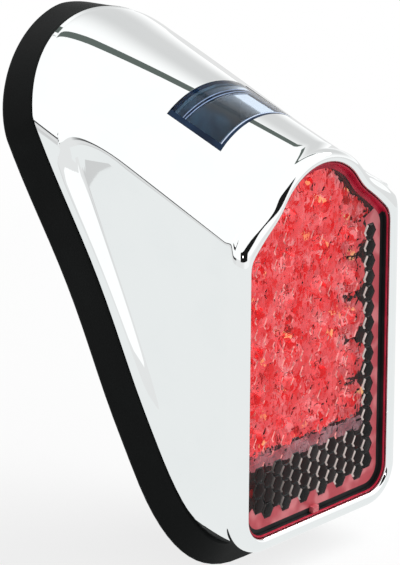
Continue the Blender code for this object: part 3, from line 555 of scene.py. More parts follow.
@dataclass(frozen=True)
class BoardFinish:
    """Green solder mask with copper tracks showing through."""

    mask: Colour = (0.012, 0.095, 0.045)
    track: Colour = (0.03, 0.17, 0.075)
    roughness: float = 0.38
    tracks: Grain = Grain(110.0, 1.0, -0.1, 0.4, 0.00005)
    waver: float = 3.0
    fade: Point = (0.55, 0.62)

    def material(self) -> bpy.types.Material:
        """Builds the finish.

        Returns:
            The material.
        """
        material, graph = new_graph("board_laminate")
        settings = {"wave_type": "BANDS", "bands_direction": "X", "wave_profile": "SIN"}
        inputs = {"Scale": self.tracks.scale, "Detail": self.tracks.detail, "Distortion": self.waver}
        inputs["Vector"] = graph.place()
        lines = graph.node("ShaderNodeTexWave", settings, inputs, "Fac").step(*self.fade)
        graph.end(graph.principled({
            "Base Color": graph.mix(lines, self.mask, self.track),
            "Roughness": self.roughness + self.tracks.rough * lines,
            "Normal": graph.bump(lines, self.tracks),
        }))
        return material


class Finish(Enum):
    """The finishes used on the light."""

    CHROME = ChromeFinish()
    RED_LENS = clear_red("red_lens", (0.86, 0.06, 0.065), (0.80, 0.035, 0.04))
    # A darker copy of the red lens: painted shade on the prisms of the shaded zone.
    PAINTED_SHADE_LENS = clear_red("painted_shade_red_lens", (0.20, 0.012, 0.012), (0.15, 0.008, 0.008))
    FROSTED = frosted_red("frosted_red_lens", (0.52, 0.08, 0.10), (0.68, 0.20, 0.22), 0.35)
    RIM = frosted_red("lens_rim", (0.44, 0.006, 0.032), (0.54, 0.016, 0.050), 0.2)
    # Painted highlight on the left flanks of the shaded prisms.
    PAINTED_HIGHLIGHT_ARC = PaintedHighlightFlankFinish()
    # Painted glint on the left flanks of some lit prisms.
    PAINTED_GLINT_ARC = LampAndPaintedGlowFinish("painted_glint_flank", (0.30, 0.05, 0.05), (0.92, 0.34, 0.31), 0.85)
    FACETED = FacetedRedFinish()
    # Black plastic, also painted shade on the lens's inner wall and skirt, the housing's recess and the
    # foot of shaded prisms.
    BLACK_AND_SHADE = moulded("black_plastic", (0.012, 0.012, 0.013), (0.020, 0.020, 0.021), 0.42)
    # Black tray plastic, which is also painted shade where the tray's front has no painted glow.
    TRAY_AND_SHADE = moulded("tray_plastic_and_painted_shade", (0.003, 0.003, 0.003), (0.006, 0.006, 0.006), 0.5)
    RUBBER = CloudedFinish(
        "black_rubber", (0.0022, 0.0028, 0.0028), (0.0050, 0.0060, 0.0060), 0.55,
        Grain(70.0, 3.0, 0.2), (0.45, 0.75), SOFT, gloss(0.12),
    )
    # Painted light on the reflector, standing in for the lamps' light broken up in it.
    MOSAIC_PAINTED_GLOW = MosaicFinish("painted_glow_reflector", LIT_TONES)
    # Painted glow for stray light on the rib below the lamps.
    DIM_PAINTED_GLOW = MosaicFinish("dim_painted_glow_reflector", DIM_TONES)
    RED_LAMP = MosaicFinish("red_lamp", LAMP_TONES)
    WHITE_LAMP = LampAndPaintedGlowFinish("white_lamp", (0.8, 0.78, 0.6), (0.9, 0.95, 1.0), 0.15)
    WINDOW = CloudedFinish(
        "clear_window", (0.74, 0.85, 0.97), (0.66, 0.79, 0.95), 0.0,
        Grain(80.0, 1.0, 0.01), (0.0, 1.0), sockets=CLEAR,
    )
    # Navy painted shade and a pale painted highlight along the window's edges and plug.
    WINDOW_EDGE_SHADE = moulded("window_edge_painted_shade", (0.005, 0.016, 0.042), (0.010, 0.032, 0.078), 0.2)
    WINDOW_LINE_HIGHLIGHT = moulded("window_line_painted_highlight", (0.50, 0.62, 0.85), (0.66, 0.75, 0.92), 0.3)
    POCKET = PocketFinish()
    BOARD = BoardFinish()
    STEEL = CloudedFinish(
        "zinc_steel", (0.62, 0.63, 0.64), (0.66, 0.63, 0.53), 0.26,
        Grain(120.0), grain=ROLLED, sockets=METAL,
    )
    SHEATH = CloudedFinish(
        "lead_sheath", (0.40, 0.012, 0.012), (0.52, 0.05, 0.045), 0.4,
        Grain(500.0, 2.0, 0.15), (0.5, 0.7),
    )


@functools.cache
def material_of(finish: Finish) -> bpy.types.Material:
    """The material of a finish, which is made once."""
    return finish.value.material()


# Outlines, each from the bottom centre round the right side, the top and the left side


@dataclass(frozen=True)
class Steps:
    """Shares along each stretch of an outline. Both outlines use the same ones, so they can be lofted."""

    bottom: Shares = (0.0, 0.3, 0.6, 0.9, 0.98)
    corner: Shares = tuple(k / 14 for k in range(14))
    side: Shares = (0.0, 0.01) + tuple(k / 14 for k in range(1, 14)) + (0.99,)
    blend: Shares = tuple(k / 8 for k in range(8))
    shoulder: Shares = (0.0, 0.02) + tuple(k / 16 for k in range(1, 16))
    arch: Shares = tuple(k / 18 for k in range(18))

    def roof(self) -> list[float]:
        """For each outline point, how far it belongs to the roof.

        Returns:
            0 on the sides, 1 above the eaves and a share between them.
        """
        below = len(self.bottom) + len(self.corner) + len(self.side)
        above = len(self.shoulder) + len(self.arch) + 1
        half = [0.0] * below + list(self.blend) + [1.0] * above
        return half + half[-2:0:-1]


STEPS = Steps()


def along(start: Point, end: Point, shares: Shares) -> Ring:
    """Points on a straight line."""
    return [Vector(start).lerp(Vector(end), share) for share in shares]


def arc(centre: Point, radius: float, start: float, end: float, shares: Shares) -> Ring:
    """Points on an arc.

    Args:
        centre: Its centre.
        radius: Its radius.
        start: Its first angle.
        end: Its last angle.
        shares: How far along each point lies.

    Returns:
        The points.
    """
    angles = [start + (end - start) * share for share in shares]
    return [Vector(centre) + radius * Vector((math.cos(a), math.sin(a))) for a in angles]


def circle(radius: float, steps: int) -> Ring:
    """Points round the origin."""
    return arc((0.0, 0.0), radius, 0.0, 2 * math.pi, tuple(k / steps for k in range(steps)))


def rounded(start: Vector, corner: Vector, end: Vector, shares: Shares) -> Ring:
    """A rounded corner that leaves along one side and arrives along the other."""
    return [(1 - t) ** 2 * start + 2 * t * (1 - t) * corner + t**2 * end for t in shares]


def mirrored(half: Ring) -> Ring:
    """A right half joined to its mirror image."""
    return half + [Vector((-point.x, point.y)) for point in reversed(half[1:-1])]


@dataclass(frozen=True)
class FrontOutline:
    """The tombstone outline of the lens opening."""

    half_width: float = 0.03325
    bottom: float = 0.0050
    corner: float = 0.0080
    arch_centre: float = 0.0964
    arch_radius: float = 0.0220
    shoulder: float = 0.0950
    blend: float = 0.0030
    ogee: float = 0.0008
    least_corner: float = 0.0003

    def shoulder_normal(self, half_width: float, shoulder: float, radius: float) -> Vector:
        """Outward direction of a shoulder, which is tangent to the arch.

        Args:
            half_width: Half the outline's width.
            shoulder: Height of the shoulder's corner.
            radius: Radius of the arch.

        Returns:
            The direction.
        """
        rise = shoulder - self.arch_centre
        reach = math.hypot(half_width, rise)
        angle = math.atan2(rise, half_width) + math.acos(radius / reach)
        return Vector((math.cos(angle), math.sin(angle)))

    def points(self, offset: float, rounding: Point | None = None, rise: float = 0.0) -> Ring:
        """The outline moved outwards.

        Args:
            offset: How far.
            rounding: How far the shoulder is rounded below and above its corner, or None for blend.
            rise: How far the shoulders are raised.

        Returns:
            Points as (x, z).
        """
        below, above = rounding or (self.blend, self.blend)
        half_width = self.half_width + offset
        bottom = self.bottom - offset
        corner = max(self.corner + offset, self.least_corner)
        plain = self.shoulder_normal(self.half_width, self.shoulder, self.arch_radius)
        shoulder = Vector((half_width, self.shoulder + offset * (1 - plain.x) / plain.y + rise))
        top = Vector((0.0, self.arch_centre))
        radius = self.arch_radius + offset
        normal = self.shoulder_normal(half_width, shoulder.y, radius)
        slope_start = shoulder + above * Vector((-normal.y, normal.x))
        slope_end = top + radius * normal
        side_end = shoulder - Vector((0.0, below))
        half = along((0.0, bottom), (half_width - corner, bottom), STEPS.bottom)
        half += arc((half_width - corner, bottom + corner), corner, -math.pi / 2, 0.0, STEPS.corner)
        half += along((half_width, bottom + corner), side_end, STEPS.side)
        half += rounded(side_end, shoulder, slope_start, STEPS.blend)
        for share in STEPS.shoulder:
            dip = self.ogee * math.sin(math.pi * share**1.5) ** 2
            half.append(slope_start.lerp(slope_end, share) - dip * normal)
        half += arc(top, radius, math.atan2(normal.y, normal.x), math.pi / 2, STEPS.arch)
        half.append(top + Vector((0.0, radius)))
        return mirrored(half)

    def ring(self, offset: float, depth: float, rounding: Point | None = None, rise: float = 0.0) -> Ring:
        """The moved outline at a depth behind the lens face."""
        return [Vector((x, depth, z)) for x, z in self.points(offset, rounding, rise)]


@dataclass(frozen=True)
class ArchedOutline:
    """An outline with a round top and wide lower corners, such as the base and its pad."""

    half_width: float
    bottom: float
    arch_centre: float
    arch_radius: float
    corner_width: float
    corner_height: float
    corner_power: float
    taper: float = 0.0
    eave: float = 0.0015
    eave_side: float = 0.0045
    shoulder_share: float = 0.55

    def points(self, inset: float = 0.0) -> Ring:
        """The outline moved inwards.

        Args:
            inset: How far.

        Returns:
            Points as (x, s).
        """
        half_width = self.half_width - inset
        bottom = self.bottom + inset
        radius = self.arch_radius - inset
        half = along((0.0, bottom), (half_width - self.corner_width, bottom), STEPS.bottom)
        for share in STEPS.corner:
            angle = math.pi / 2 * share
            across = self.corner_width * math.sin(angle) ** (2 / self.corner_power)
            down = self.corner_height * math.cos(angle) ** (2 / self.corner_power)
            x = half_width - self.corner_width + across
            half.append(Vector((x, bottom + self.corner_height - down)))
        eave_x = half_width - self.taper
        eave = self.arch_centre + math.sqrt(max(radius**2 - eave_x**2, 0.0))
        first = math.atan2(eave - self.arch_centre, eave_x) + self.eave / radius
        middle = first + self.shoulder_share * (math.pi / 2 - first)
        centre = Vector((0.0, self.arch_centre))
        before = Vector((eave_x, eave - self.eave_side))
        after = centre + radius * Vector((math.cos(first), math.sin(first)))
        half += along((half_width, bottom + self.corner_height), before, STEPS.side)
        half += rounded(before, Vector((eave_x, eave)), after, STEPS.blend)
        half += arc(centre, radius, first, middle, STEPS.shoulder)
        half += arc(centre, radius, middle, math.pi / 2, STEPS.arch)
        half.append(centre + Vector((0.0, radius)))
        return mirrored(half)


@dataclass(frozen=True)
class PadOutline(ArchedOutline):
    """The pad's outline where it meets the fender: a slight waist, and a crown with soft eaves."""

    crown_height: float = 0.0355
    crown_power: float = 1.72
    waist: float = 0.0019
    waist_low: float = 0.0450
    waist_high: float = 0.1350

    def points(self, inset: float = 0.0) -> Ring:
        """The outline moved inwards.

        Args:
            inset: How far.

        Returns:
            Points as (x, s).
        """
        half_width = self.half_width - inset
        found = []
        for point, base in zip(super().points(inset), BASE.points()):
            if point.y >= self.arch_centre - self.eave_side:
                across = min(abs(base.x) / BASE.half_width, 1.0)
                share = (1 - across**self.crown_power) ** (1 / self.crown_power)
                rise = (self.crown_height - inset) * share
                point = Vector((math.copysign(half_width * across, base.x), self.arch_centre + rise))
            elif self.waist_low < point.y < self.waist_high:
                turn = math.pi * (point.y - self.waist_low) / (self.waist_high - self.waist_low)
                dip = self.waist * math.sin(turn) ** 2
                point = point - Vector((math.copysign(dip, point.x), 0.0))
            found.append(point)
        return found


@dataclass(frozen=True)
class SlantedBase:
    """The plane that the housing and its pad meet in."""

    lean: float = math.radians(28.5)
    set_back: float = 0.0141
    middle: float = 0.0835
    pad_back: float = -0.0107
    saddle: float = 0.0017
    saddle_side: float = 0.0300
    saddle_low: float = 0.0450
    saddle_high: float = 0.1350

    def point(self, x: float, s: float, h: float) -> Vector:
        """Face coordinates of a point given in base coordinates."""
        y = self.set_back + s * math.sin(self.lean) - h * math.cos(self.lean)
        return Vector((x, y, s * math.cos(self.lean) + h * math.sin(self.lean)))

    def lift(self, x: float, s: float) -> float:
        """How far the joint of housing and pad rises along the sides, which follow the fender.

        Args:
            x: Where across the base.
            s: Where up the base.

        Returns:
            The rise.
        """
        if abs(x) < self.saddle_side or not self.saddle_low < s < self.saddle_high:
            return 0.0
        turn = math.pi * (s - self.saddle_low) / (self.saddle_high - self.saddle_low)
        return self.saddle * math.sin(turn) ** 2

    def mount(self) -> Vector:
        """The middle of the pad's back, which is the model's origin."""
        return self.point(0.0, self.middle, self.pad_back)

    def upright(self, s: float) -> Matrix:
        """The place of a turned part that stands on the base's middle line."""
        turn = Matrix.Rotation(math.pi / 2 - self.lean, 4, "X")
        return Matrix.Translation(self.point(0.0, s, 0.0)) @ turn


FRONT = FrontOutline()
SLANT = SlantedBase()
BASE = ArchedOutline(0.0395, -0.0005, 0.1260, 0.0425, 0.0215, 0.0405, 2.9)
BODY = ArchedOutline(0.0395, -0.0005, 0.1260, 0.0430, 0.0215, 0.0405, 2.9, 0.0040)
PAD = PadOutline(0.0430, -0.0065, 0.1380, 0.0430, 0.0312, 0.0405, 2.75)


def base_ring(outline: ArchedOutline, inset: float, height: float, lifted: float = 0.0) -> Ring:
    """A base outline in face coordinates.

    Args:
        outline: The outline.
        inset: How far it is moved inwards.
        height: Its height above the base plane.
        lifted: Share of the joint's rise along the sides.

    Returns:
        The ring.
    """
    return [SLANT.point(x, s, height + lifted * SLANT.lift(x, s)) for x, s in outline.points(inset)]


def mixed(near: Ring, far: Ring, shares: list[float]) -> Ring:
    """A ring between two others, point by point."""
    return [a.lerp(b, share) for a, b, share in zip(near, far, shares)]


def between(near: Ring, far: Ring, shares: Shares) -> list[Ring]:
    """Rings along the straight lines between two rings."""
    return [mixed(near, far, [share] * len(near)) for share in shares]


def pairs(row: list) -> zip:
    """Each item of a closed row with the next."""
    return zip(row, row[1:] + row[:1])


def rectangle(half: float, low: float, high: float, depth: float) -> Ring:
    """A rectangle that faces the front."""
    corners = ((-half, low), (half, low), (half, high), (-half, high))
    return [Vector((x, depth, z)) for x, z in corners]


# Meshes


def placed(name: str, data: bpy.types.ID) -> bpy.types.Object:
    """Puts a new object in the scene.

    Args:
        name: Its name.
        data: Its mesh, lamp or camera.

    Returns:
        The object.
    """
    obj = bpy.data.objects.new(name, data)
    bpy.context.scene.collection.objects.link(obj)
    return obj


def mesh_from(name: str, shape: bmesh.types.BMesh) -> bpy.types.Mesh:
    """Turns a finished shape into a mesh.

    Args:
        name: The mesh's name.
        shape: The shape, which is freed.

    Returns:
        The mesh.
    """
    mesh = bpy.data.meshes.new(name)
    shape.to_mesh(mesh)
    shape.free()
    return mesh


def smooth(mesh: bpy.types.Mesh, sharp: float = 30.0) -> None:
    """Shades a mesh smooth, apart from edges above an angle in degrees."""
    mesh.shade_smooth()
    mesh.set_sharp_from_angle(angle=math.radians(sharp))


class Solid:
    """A mesh in the making, in face coordinates, that becomes one piece of the light."""

    def __init__(self, *finishes: Finish) -> None:
        """Starts empty. Faces take the first of the finishes unless they are given another."""
        self.shape = bmesh.new()
        self.finishes = finishes

    def paint(self, faces: list[bmesh.types.BMFace], finish: Finish | None) -> None:
        """Gives faces a finish, or the first one where it is None."""
        for face in faces:
            face.material_index = self.finishes.index(finish) if finish else 0

    def painted(self, finish: Finish) -> list[bmesh.types.BMFace]:
        """The faces that have a finish."""
        number = self.finishes.index(finish)
        return [face for face in self.shape.faces if face.material_index == number]

    def ring(self, points: Ring) -> Row:
        """Adds a ring of points."""
        return [self.shape.verts.new(point) for point in points]

    def cap(self, row: Row, finish: Finish | None = None) -> None:
        """Closes a ring of points with one face."""
        self.paint([self.shape.faces.new(row)], finish)

    def skin(self, *rows: Row, finish: Finish | None = None) -> None:
        """Faces between each ring of points and the next.

        Args:
            rows: The rings, of equal length.
            finish: Their finish, or None for the first.
        """
        for near, far in zip(rows, rows[1:]):
            sides = zip(near, near[1:] + near[:1], far[1:] + far[:1], far)
            self.paint([self.shape.faces.new(corners) for corners in sides], finish)

    def loft(self, rings: list[Ring], finish: Finish | None = None, caps: bool = False) -> list[Row]:
        """Skins a row of rings.

        Args:
            rings: Rings of equal length.
            finish: Their finish, or None for the first.
            caps: Whether the two ends are closed.

        Returns:
            The rings' points.
        """
        rows = [self.ring(points) for points in rings]
        self.skin(*rows, finish=finish)
        if caps:
            self.cap(rows[0], finish)
            self.cap(rows[-1], finish)
        return rows

    def edges_of(self, loop: Row) -> list[bmesh.types.BMEdge]:
        """The edges of a closed row of points, made where they are missing."""
        edges = self.shape.edges
        return [edges.get(pair) or edges.new(pair) for pair in pairs(loop)]

    def fill(self, edges: list[bmesh.types.BMEdge]) -> list[bmesh.types.BMFace]:
        """Fills the flat area between closed rows of edges, facing the front."""
        made = bmesh.ops.triangle_fill(self.shape, use_beauty=True, edges=edges, normal=(0.0, -1.0, 0.0))
        return [item for item in made["geom"] if isinstance(item, bmesh.types.BMFace)]

    def fill_loops(self, *loops: Row) -> list[bmesh.types.BMFace]:
        """Fills the flat area inside an outer loop of points, around the loops of its holes."""
        return self.fill([edge for loop in loops for edge in self.edges_of(loop)])

    def turned(self, profile: list[Point], matrix: Matrix, steps: int) -> None:
        """Adds a turned solid.

        Args:
            profile: Radius and height from one end of its axis to the other.
            matrix: Its place.
            steps: Facets round it.
        """
        rows = []
        for radius, height in profile:
            points = circle(radius, steps) if radius > 0.0 else [Vector((0.0, 0.0))]
            rows.append(self.ring([matrix @ Vector((*point, height)) for point in points]))
        for near, far in zip(rows, rows[1:]):
            for i in range(steps):
                j = i + 1
                corners = [near[i % len(near)], near[j % len(near)], far[j % len(far)], far[i % len(far)]]
                self.shape.faces.new(list(dict.fromkeys(corners)))

    def piece(self, name: str, sharp: float = 30.0) -> bpy.types.Object:
        """Turns the mesh into an object.

        Args:
            name: The piece's name.
            sharp: Angle in degrees above which an edge stays sharp.

        Returns:
            The object.
        """
        bmesh.ops.recalc_face_normals(self.shape, faces=self.shape.faces)
        bmesh.ops.translate(self.shape, verts=self.shape.verts, vec=-SLANT.mount())
        mesh = mesh_from(name, self.shape)
        for finish in self.finishes:
            mesh.materials.append(material_of(finish))
        smooth(mesh, sharp)
        return placed(name, mesh)


def settle(obj: bpy.types.Object, node: str) -> None:
    """Ties a finished piece to the light.

    Args:
        obj: The piece.
        node: The CAD node that it stands for.
    """
    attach(obj, "root")
    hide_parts(node)
    LOG.info("piece %s stands for %s", obj.name, node)


def cut_away(obj: bpy.types.Object, cutter: bpy.types.Object) -> None:
    """Cuts one object out of another and removes it.

    Args:
        obj: The piece that is cut.
        cutter: The object that is cut out.
    """
    modifier = obj.modifiers.new("cut", "BOOLEAN")
    modifier.object = cutter
    modifier.operation = "DIFFERENCE"
    modifier.solver = "EXACT"
    bpy.context.view_layer.update()
    graph = bpy.context.evaluated_depsgraph_get()
    mesh = bpy.data.meshes.new_from_object(obj.evaluated_get(graph))
    obj.modifiers.clear()
    obj.data = mesh
    smooth(mesh)
    bpy.data.objects.remove(cutter, do_unlink=True)


def dress_nodes(finishes: dict[str, Finish]) -> None:
    """Puts finishes on CAD nodes that stay as they are.

    Args:
        finishes: The finish of each node by name.
    """
    for name, finish in finishes.items():
        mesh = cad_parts[name].data
        mesh.materials.clear()
        mesh.materials.append(material_of(finish))
        LOG.info("node %s dressed in %s", name, finish.name.lower())


# The light's sub-assemblies


@dataclass
class Housing:
    """The chrome shell: flange, roof, sides, bezel lip and lens recess."""

    lip_width: float = 0.0048
    lip_crest: float = 0.0014
    lip_front: float = -0.0008
    lip_edge: float = 0.0004
    lip_back: float = 0.0029
    neck_depth: float = 0.0070
    neck_inset: float = 0.0001
    roof_drop: float = 0.0010
    neck_side: float = 0.0010
    neck_side_rise: float = 0.0054
    neck_roof_rise: float = 0.0043
    eave: Point = (0.0045, 0.0015)
    shoulder_rise: float = 0.0016
    web_front: float = 0.0120
    web_back: float = 0.0136
    cavity_offset: float = 0.0017
    flange_edge: float = 0.0038
    roof_edge: float = 0.0012
    slope_bend: float = 0.25
    flange_cove: float = 0.0102
    eave_edge: float = 0.0110
    eave_cove: float = 0.0330
    eave_reach: float = 0.0090
    eave_hold: float = 0.0060
    hold_share: float = 0.6
    wall: float = 0.0022
    body_shares: Shares = (
        0.008, 0.03, 0.08, 0.16, 0.26, 0.36, 0.46, 0.56, 0.66, 0.76, 0.86, 0.94, 0.985,
    )
    cavity_shares: Shares = (0.0, 0.2, 0.4, 0.6, 0.8, 1.0)
    quarter: Shares = tuple(k / 12 for k in range(13))

    def from_eaves(self, ring: Ring) -> list[float]:
        """How far each point of a ring lies from the nearer eave.

        Args:
            ring: The ring.

        Returns:
            The distances as shares of eave_hold.
        """
        eave = ring[STEPS.roof().index(1.0)]
        return [math.hypot(abs(p.x) - eave.x, p.z - eave.z) / self.eave_hold for p in ring]

    def crown(self) -> list[float]:
        """For each outline point, how far it belongs to the roof's middle, away from the eaves."""
        away = self.from_eaves(FRONT.ring(self.lip_width, 0.0, self.eave))
        return [roof * min(1.0, max(0.0, (far - 1.0) / 2.0)) for far, roof in zip(away, STEPS.roof())]

    def lip(self, offset: float, depth: float, out: float = 1.0) -> Ring:
        """A ring of the lip, which is lower over the roof's middle.

        Args:
            offset: How far it is moved outwards.
            depth: Its depth.
            out: How far it belongs to the outer edge, from 0 at the crest to 1.

        Returns:
            The ring.
        """
        rounding = tuple(FRONT.blend + (length - FRONT.blend) * out for length in self.eave)
        rise = self.shoulder_rise * out
        side = FRONT.ring(offset, depth, rounding, rise)
        top = FRONT.ring(offset - self.roof_drop * out, depth, rounding, rise)
        return mixed(side, top, self.crown())

    def neck(self, shares: list[float] | None = None, depth: float | None = None) -> Ring:
        """A ring between the lip's outer edge and the neck, which is narrower and has higher eaves.

        Args:
            shares: How far each point lies towards the neck, or None for the neck itself.
            depth: Its depth, or None for the neck's own.

        Returns:
            The ring.
        """
        depth = self.neck_depth if depth is None else depth
        lip = self.lip(self.lip_width, depth)
        sides = FRONT.ring(self.lip_width - self.neck_side, depth, self.eave, self.neck_side_rise)
        roof = FRONT.ring(self.lip_width - self.neck_inset, depth, self.eave, self.neck_roof_rise)
        return mixed(lip, mixed(sides, roof, STEPS.roof()), shares or [1.0] * len(lip))

    def flange_rings(self) -> list[Ring]:
        """The base flange: a straight edge, then an S on the sides and a plain cove on the roof.

        Returns:
            Its rings, from the base upwards.
        """
        rim = base_ring(BASE, 0.0, 0.0, 1.0)
        body = base_ring(BODY, 0.0, 0.0)
        eave = body[STEPS.roof().index(1.0)]
        other_eave = Vector((-eave.x, eave.y, eave.z))
        rings = [rim]
        for share in self.quarter:
            turn = math.pi / 2 * share
            slope = self.slope_share(share)
            ring = []
            for edge, low, high, roof in zip(rim, body, self.neck(), STEPS.roof()):
                away = min((low - eave).length, (low - other_eave).length) / self.eave_reach
                near = math.exp(-away**2)
                round_share = max(roof, near)
                start = self.flange_edge + roof * (self.roof_edge - self.flange_edge)
                start += near * (self.eave_edge - start)
                cove = self.flange_cove + near * (self.eave_cove - self.flange_cove)
                inward = slope + round_share * (math.sin(turn) - slope)
                upward = share + round_share * (1 - math.cos(turn) - share)
                room = (high - low).length
                rise = min(start, room / 4) + min(cove, room / 2) * upward
                ring.append(edge.lerp(low, inward) + (high - low).normalized() * rise)
            rings.append(ring)
        return rings

    def slope_share(self, share: float) -> float:
        """How far the flange's slope has come in: it bends, runs straight and bends back.

        Args:
            share: How far along the slope.

        Returns:
            The share of the way in.
        """
        bend = self.slope_bend
        if share < bend:
            return share**2 / (2 * bend * (1 - bend))
        if share > 1 - bend:
            return 1 - (1 - share) ** 2 / (2 * bend * (1 - bend))
        return (share - bend / 2) / (1 - bend)

    def bezel_rings(self) -> list[Ring]:
        """From the neck over the rounded lip to the edge of the recess.

        Returns:
            The rings, from the back to the front.
        """
        rings = []
        away = self.from_eaves(self.neck())
        for share in self.quarter[1:]:
            depth = self.neck_depth - (self.neck_depth - self.lip_back) * share
            kept = []
            for far, crown in zip(away, self.crown()):
                delay = self.hold_share * max(0.0, 1 - far)
                fall = max(0.0, share - delay) / (1 - delay)
                gentle = 1 - fall**2 * (3 - 2 * fall)
                kept.append(gentle + crown * ((1 - fall) ** 2 - gentle))
            rings.append(self.neck(kept, depth))
        outer = self.lip_width - self.lip_crest
        for share in self.quarter:
            angle = math.pi / 2 * share
            out = math.cos(angle)
            depth = self.lip_front + outer * (1 - math.sin(angle))
            rings.append(self.lip(self.lip_crest + outer * out, depth, out))
        for share in self.quarter[2::2]:
            angle = math.pi / 2 * share
            offset = self.lip_crest * (1 - math.sin(angle))
            drop = (self.lip_edge - self.lip_front) * (1 - math.cos(angle))
            rings.append(FRONT.ring(offset, self.lip_front + drop))
        return rings

    def build(self, window: "PlateWindow") -> None:
        """Makes the shell.

        Args:
            window: The roof window, whose opening is cut.
        """
        solid = Solid(Finish.CHROME, Finish.BLACK_AND_SHADE)
        flange = self.flange_rings()
        body = between(flange[-1], self.neck(), self.body_shares)
        rows = solid.loft(flange + body + [self.neck()] + self.bezel_rings())
        recess = solid.ring(FRONT.ring(0.0, self.web_front))
        # The recess inside the lip is black: painted shade.
        solid.skin(rows[-1], recess, finish=Finish.BLACK_AND_SHADE)
        solid.cap(recess, Finish.BLACK_AND_SHADE)
        web = FRONT.ring(self.cavity_offset, self.web_back, self.eave)
        inner = solid.loft(between(web, base_ring(BODY, self.wall, 0.0), self.cavity_shares))
        solid.cap(inner[0])
        solid.skin(inner[-1], rows[0])
        shell = solid.piece("housing_shell")
        cut_away(shell, window.opening())
        settle(shell, "housing")


@dataclass
class PlateWindow:
    """The clear window in the roof, with a plug below it, and the lamp pocket under both."""

    half_width: float = 0.0187
    front: float = 0.0246
    back: float = 0.0460
    floor: float = 0.1120
    top: float = 0.1685
    recess: float = 0.00015
    gap: float = 0.0002
    thickness: float = 0.0026
    plug_inset: float = 0.0033
    # Bands of painted highlight and painted shade down the plug's sides.
    plug_layers: tuple[tuple[float, Finish], ...] = (
        (0.0005, Finish.WINDOW_LINE_HIGHLIGHT),
        (0.0010, Finish.WINDOW_EDGE_SHADE),
        (0.0005, Finish.WINDOW_LINE_HIGHLIGHT),
        (0.0005, Finish.WINDOW_EDGE_SHADE),
    )
    left_edge: float = 0.0016
    front_edge: float = 0.0009
    front_line: float = 0.0004
    columns: int = 40

    def opening(self) -> bpy.types.Object:
        """A block over the opening, to cut it with.

        Returns:
            The block.
        """
        low = Vector((-self.half_width, self.front, self.floor))
        high = Vector((self.half_width, self.back, self.top))
        place = Matrix.Translation((low + high) / 2 - SLANT.mount())
        shape = bmesh.new()
        bmesh.ops.create_cube(shape, size=1.0, matrix=place @ Matrix.Diagonal((*(high - low), 1.0)))
        return placed("cutter", mesh_from("cutter", shape))

    def roof_point(self, rulings: Rulings, x: float, y: float, drop: float) -> Vector:
        """A point under the roof.

        Args:
            rulings: The roof's straight lines, from right to left.
            x: Where it lies.
            y: Where it lies.
            drop: How far it is below the roof.

        Returns:
            The point.
        """
        cut = [a.lerp(b, (y - a.y) / (b.y - a.y)) for a, b in rulings]
        for right, left in zip(cut, cut[1:]):
            if left.x <= x <= right.x:
                share = (right.x - x) / (right.x - left.x)
                return Vector((x, y, right.z + (left.z - right.z) * share - drop))
        raise ValueError("the window is wider than the roof")

    def sheet(self, solid: Solid, rulings: Rulings, inset: float, drop: float) -> list[Row]:
        """Rows of points over the window, from its front to its back.

        Args:
            solid: The window in the making.
            rulings: The roof's straight lines.
            inset: How far its edge is moved inwards.
            drop: How far it is below the roof.

        Returns:
            The rows.
        """
        half = self.half_width - inset
        across = [-half, -half + self.left_edge]
        across += [across[1] + (half - across[1]) * k / self.columns for k in range(1, self.columns + 1)]
        front = self.front + inset
        line = front + self.front_edge
        ahead = (front, line, line + self.front_line, self.back - inset)
        return [solid.ring([self.roof_point(rulings, x, y, drop) for x in across]) for y in ahead]

    @staticmethod
    def edge_of(rows: list[Row]) -> Row:
        """The points round a sheet.

        Args:
            rows: The sheet.

        Returns:
            Its closed edge.
        """
        right = [row[-1] for row in rows[1:-1]]
        left = [row[0] for row in rows[-2:0:-1]]
        return rows[0] + right + rows[-1][::-1] + left

    def cover(self, solid: Solid, rows: list[Row], edged: bool) -> None:
        """Faces of a sheet.

        Args:
            solid: The window in the making.
            rows: The sheet.
            edged: Whether its left and front edges carry navy painted shade, with a pale painted
                highlight line.
        """
        for j, (near, far) in enumerate(zip(rows, rows[1:])):
            for i in range(len(near) - 1):
                face = solid.shape.faces.new((near[i], near[i + 1], far[i + 1], far[i]))
                if edged and (i == 0 or j < 2):
                    line = i > 0 and j == 1
                    solid.paint([face], Finish.WINDOW_LINE_HIGHLIGHT if line else Finish.WINDOW_EDGE_SHADE)

    def build(self, housing: Housing) -> None:
        """Makes the window as a slice of the roof.

        Args:
            housing: The shell, whose roof it follows.
        """
        solid = Solid(Finish.WINDOW, Finish.WINDOW_EDGE_SHADE, Finish.WINDOW_LINE_HIGHLIGHT)
        ends = zip(housing.flange_rings()[-1], housing.neck(), STEPS.roof())
        rulings = [(low, high) for low, high, roof in ends if roof == 1.0]
        pane = self.sheet(solid, rulings, self.gap, self.recess)
        self.cover(solid, pane, True)
        drop = self.recess + self.thickness
        pane_foot = self.sheet(solid, rulings, self.gap, drop)
        plug = self.sheet(solid, rulings, self.plug_inset, drop)
        # The pane's side wall is navy painted shade.
        solid.skin(self.edge_of(pane), self.edge_of(pane_foot), finish=Finish.WINDOW_EDGE_SHADE)
        solid.skin(self.edge_of(pane_foot), self.edge_of(plug))
        for layer, finish in self.plug_layers:
            drop += layer
            lower = self.sheet(solid, rulings, self.plug_inset, drop)
            solid.skin(self.edge_of(plug), self.edge_of(lower), finish=finish)
            plug = lower
        self.cover(solid, plug, False)
        loose = [vert for vert in solid.shape.verts if not vert.link_faces]
        bmesh.ops.delete(solid.shape, geom=loose, context="VERTS")
        settle(solid.piece("window_pane"), "plate_window")

    def dress(self) -> None:
        """Gives the parts under the window their finishes."""
        dress_nodes({
            "lamp_pocket": Finish.POCKET,
            "plate_lamp_board": Finish.BOARD,
            "plate_led_1": Finish.WHITE_LAMP,
            "plate_led_2": Finish.WHITE_LAMP,
            "jumper_lead": Finish.SHEATH,
        })


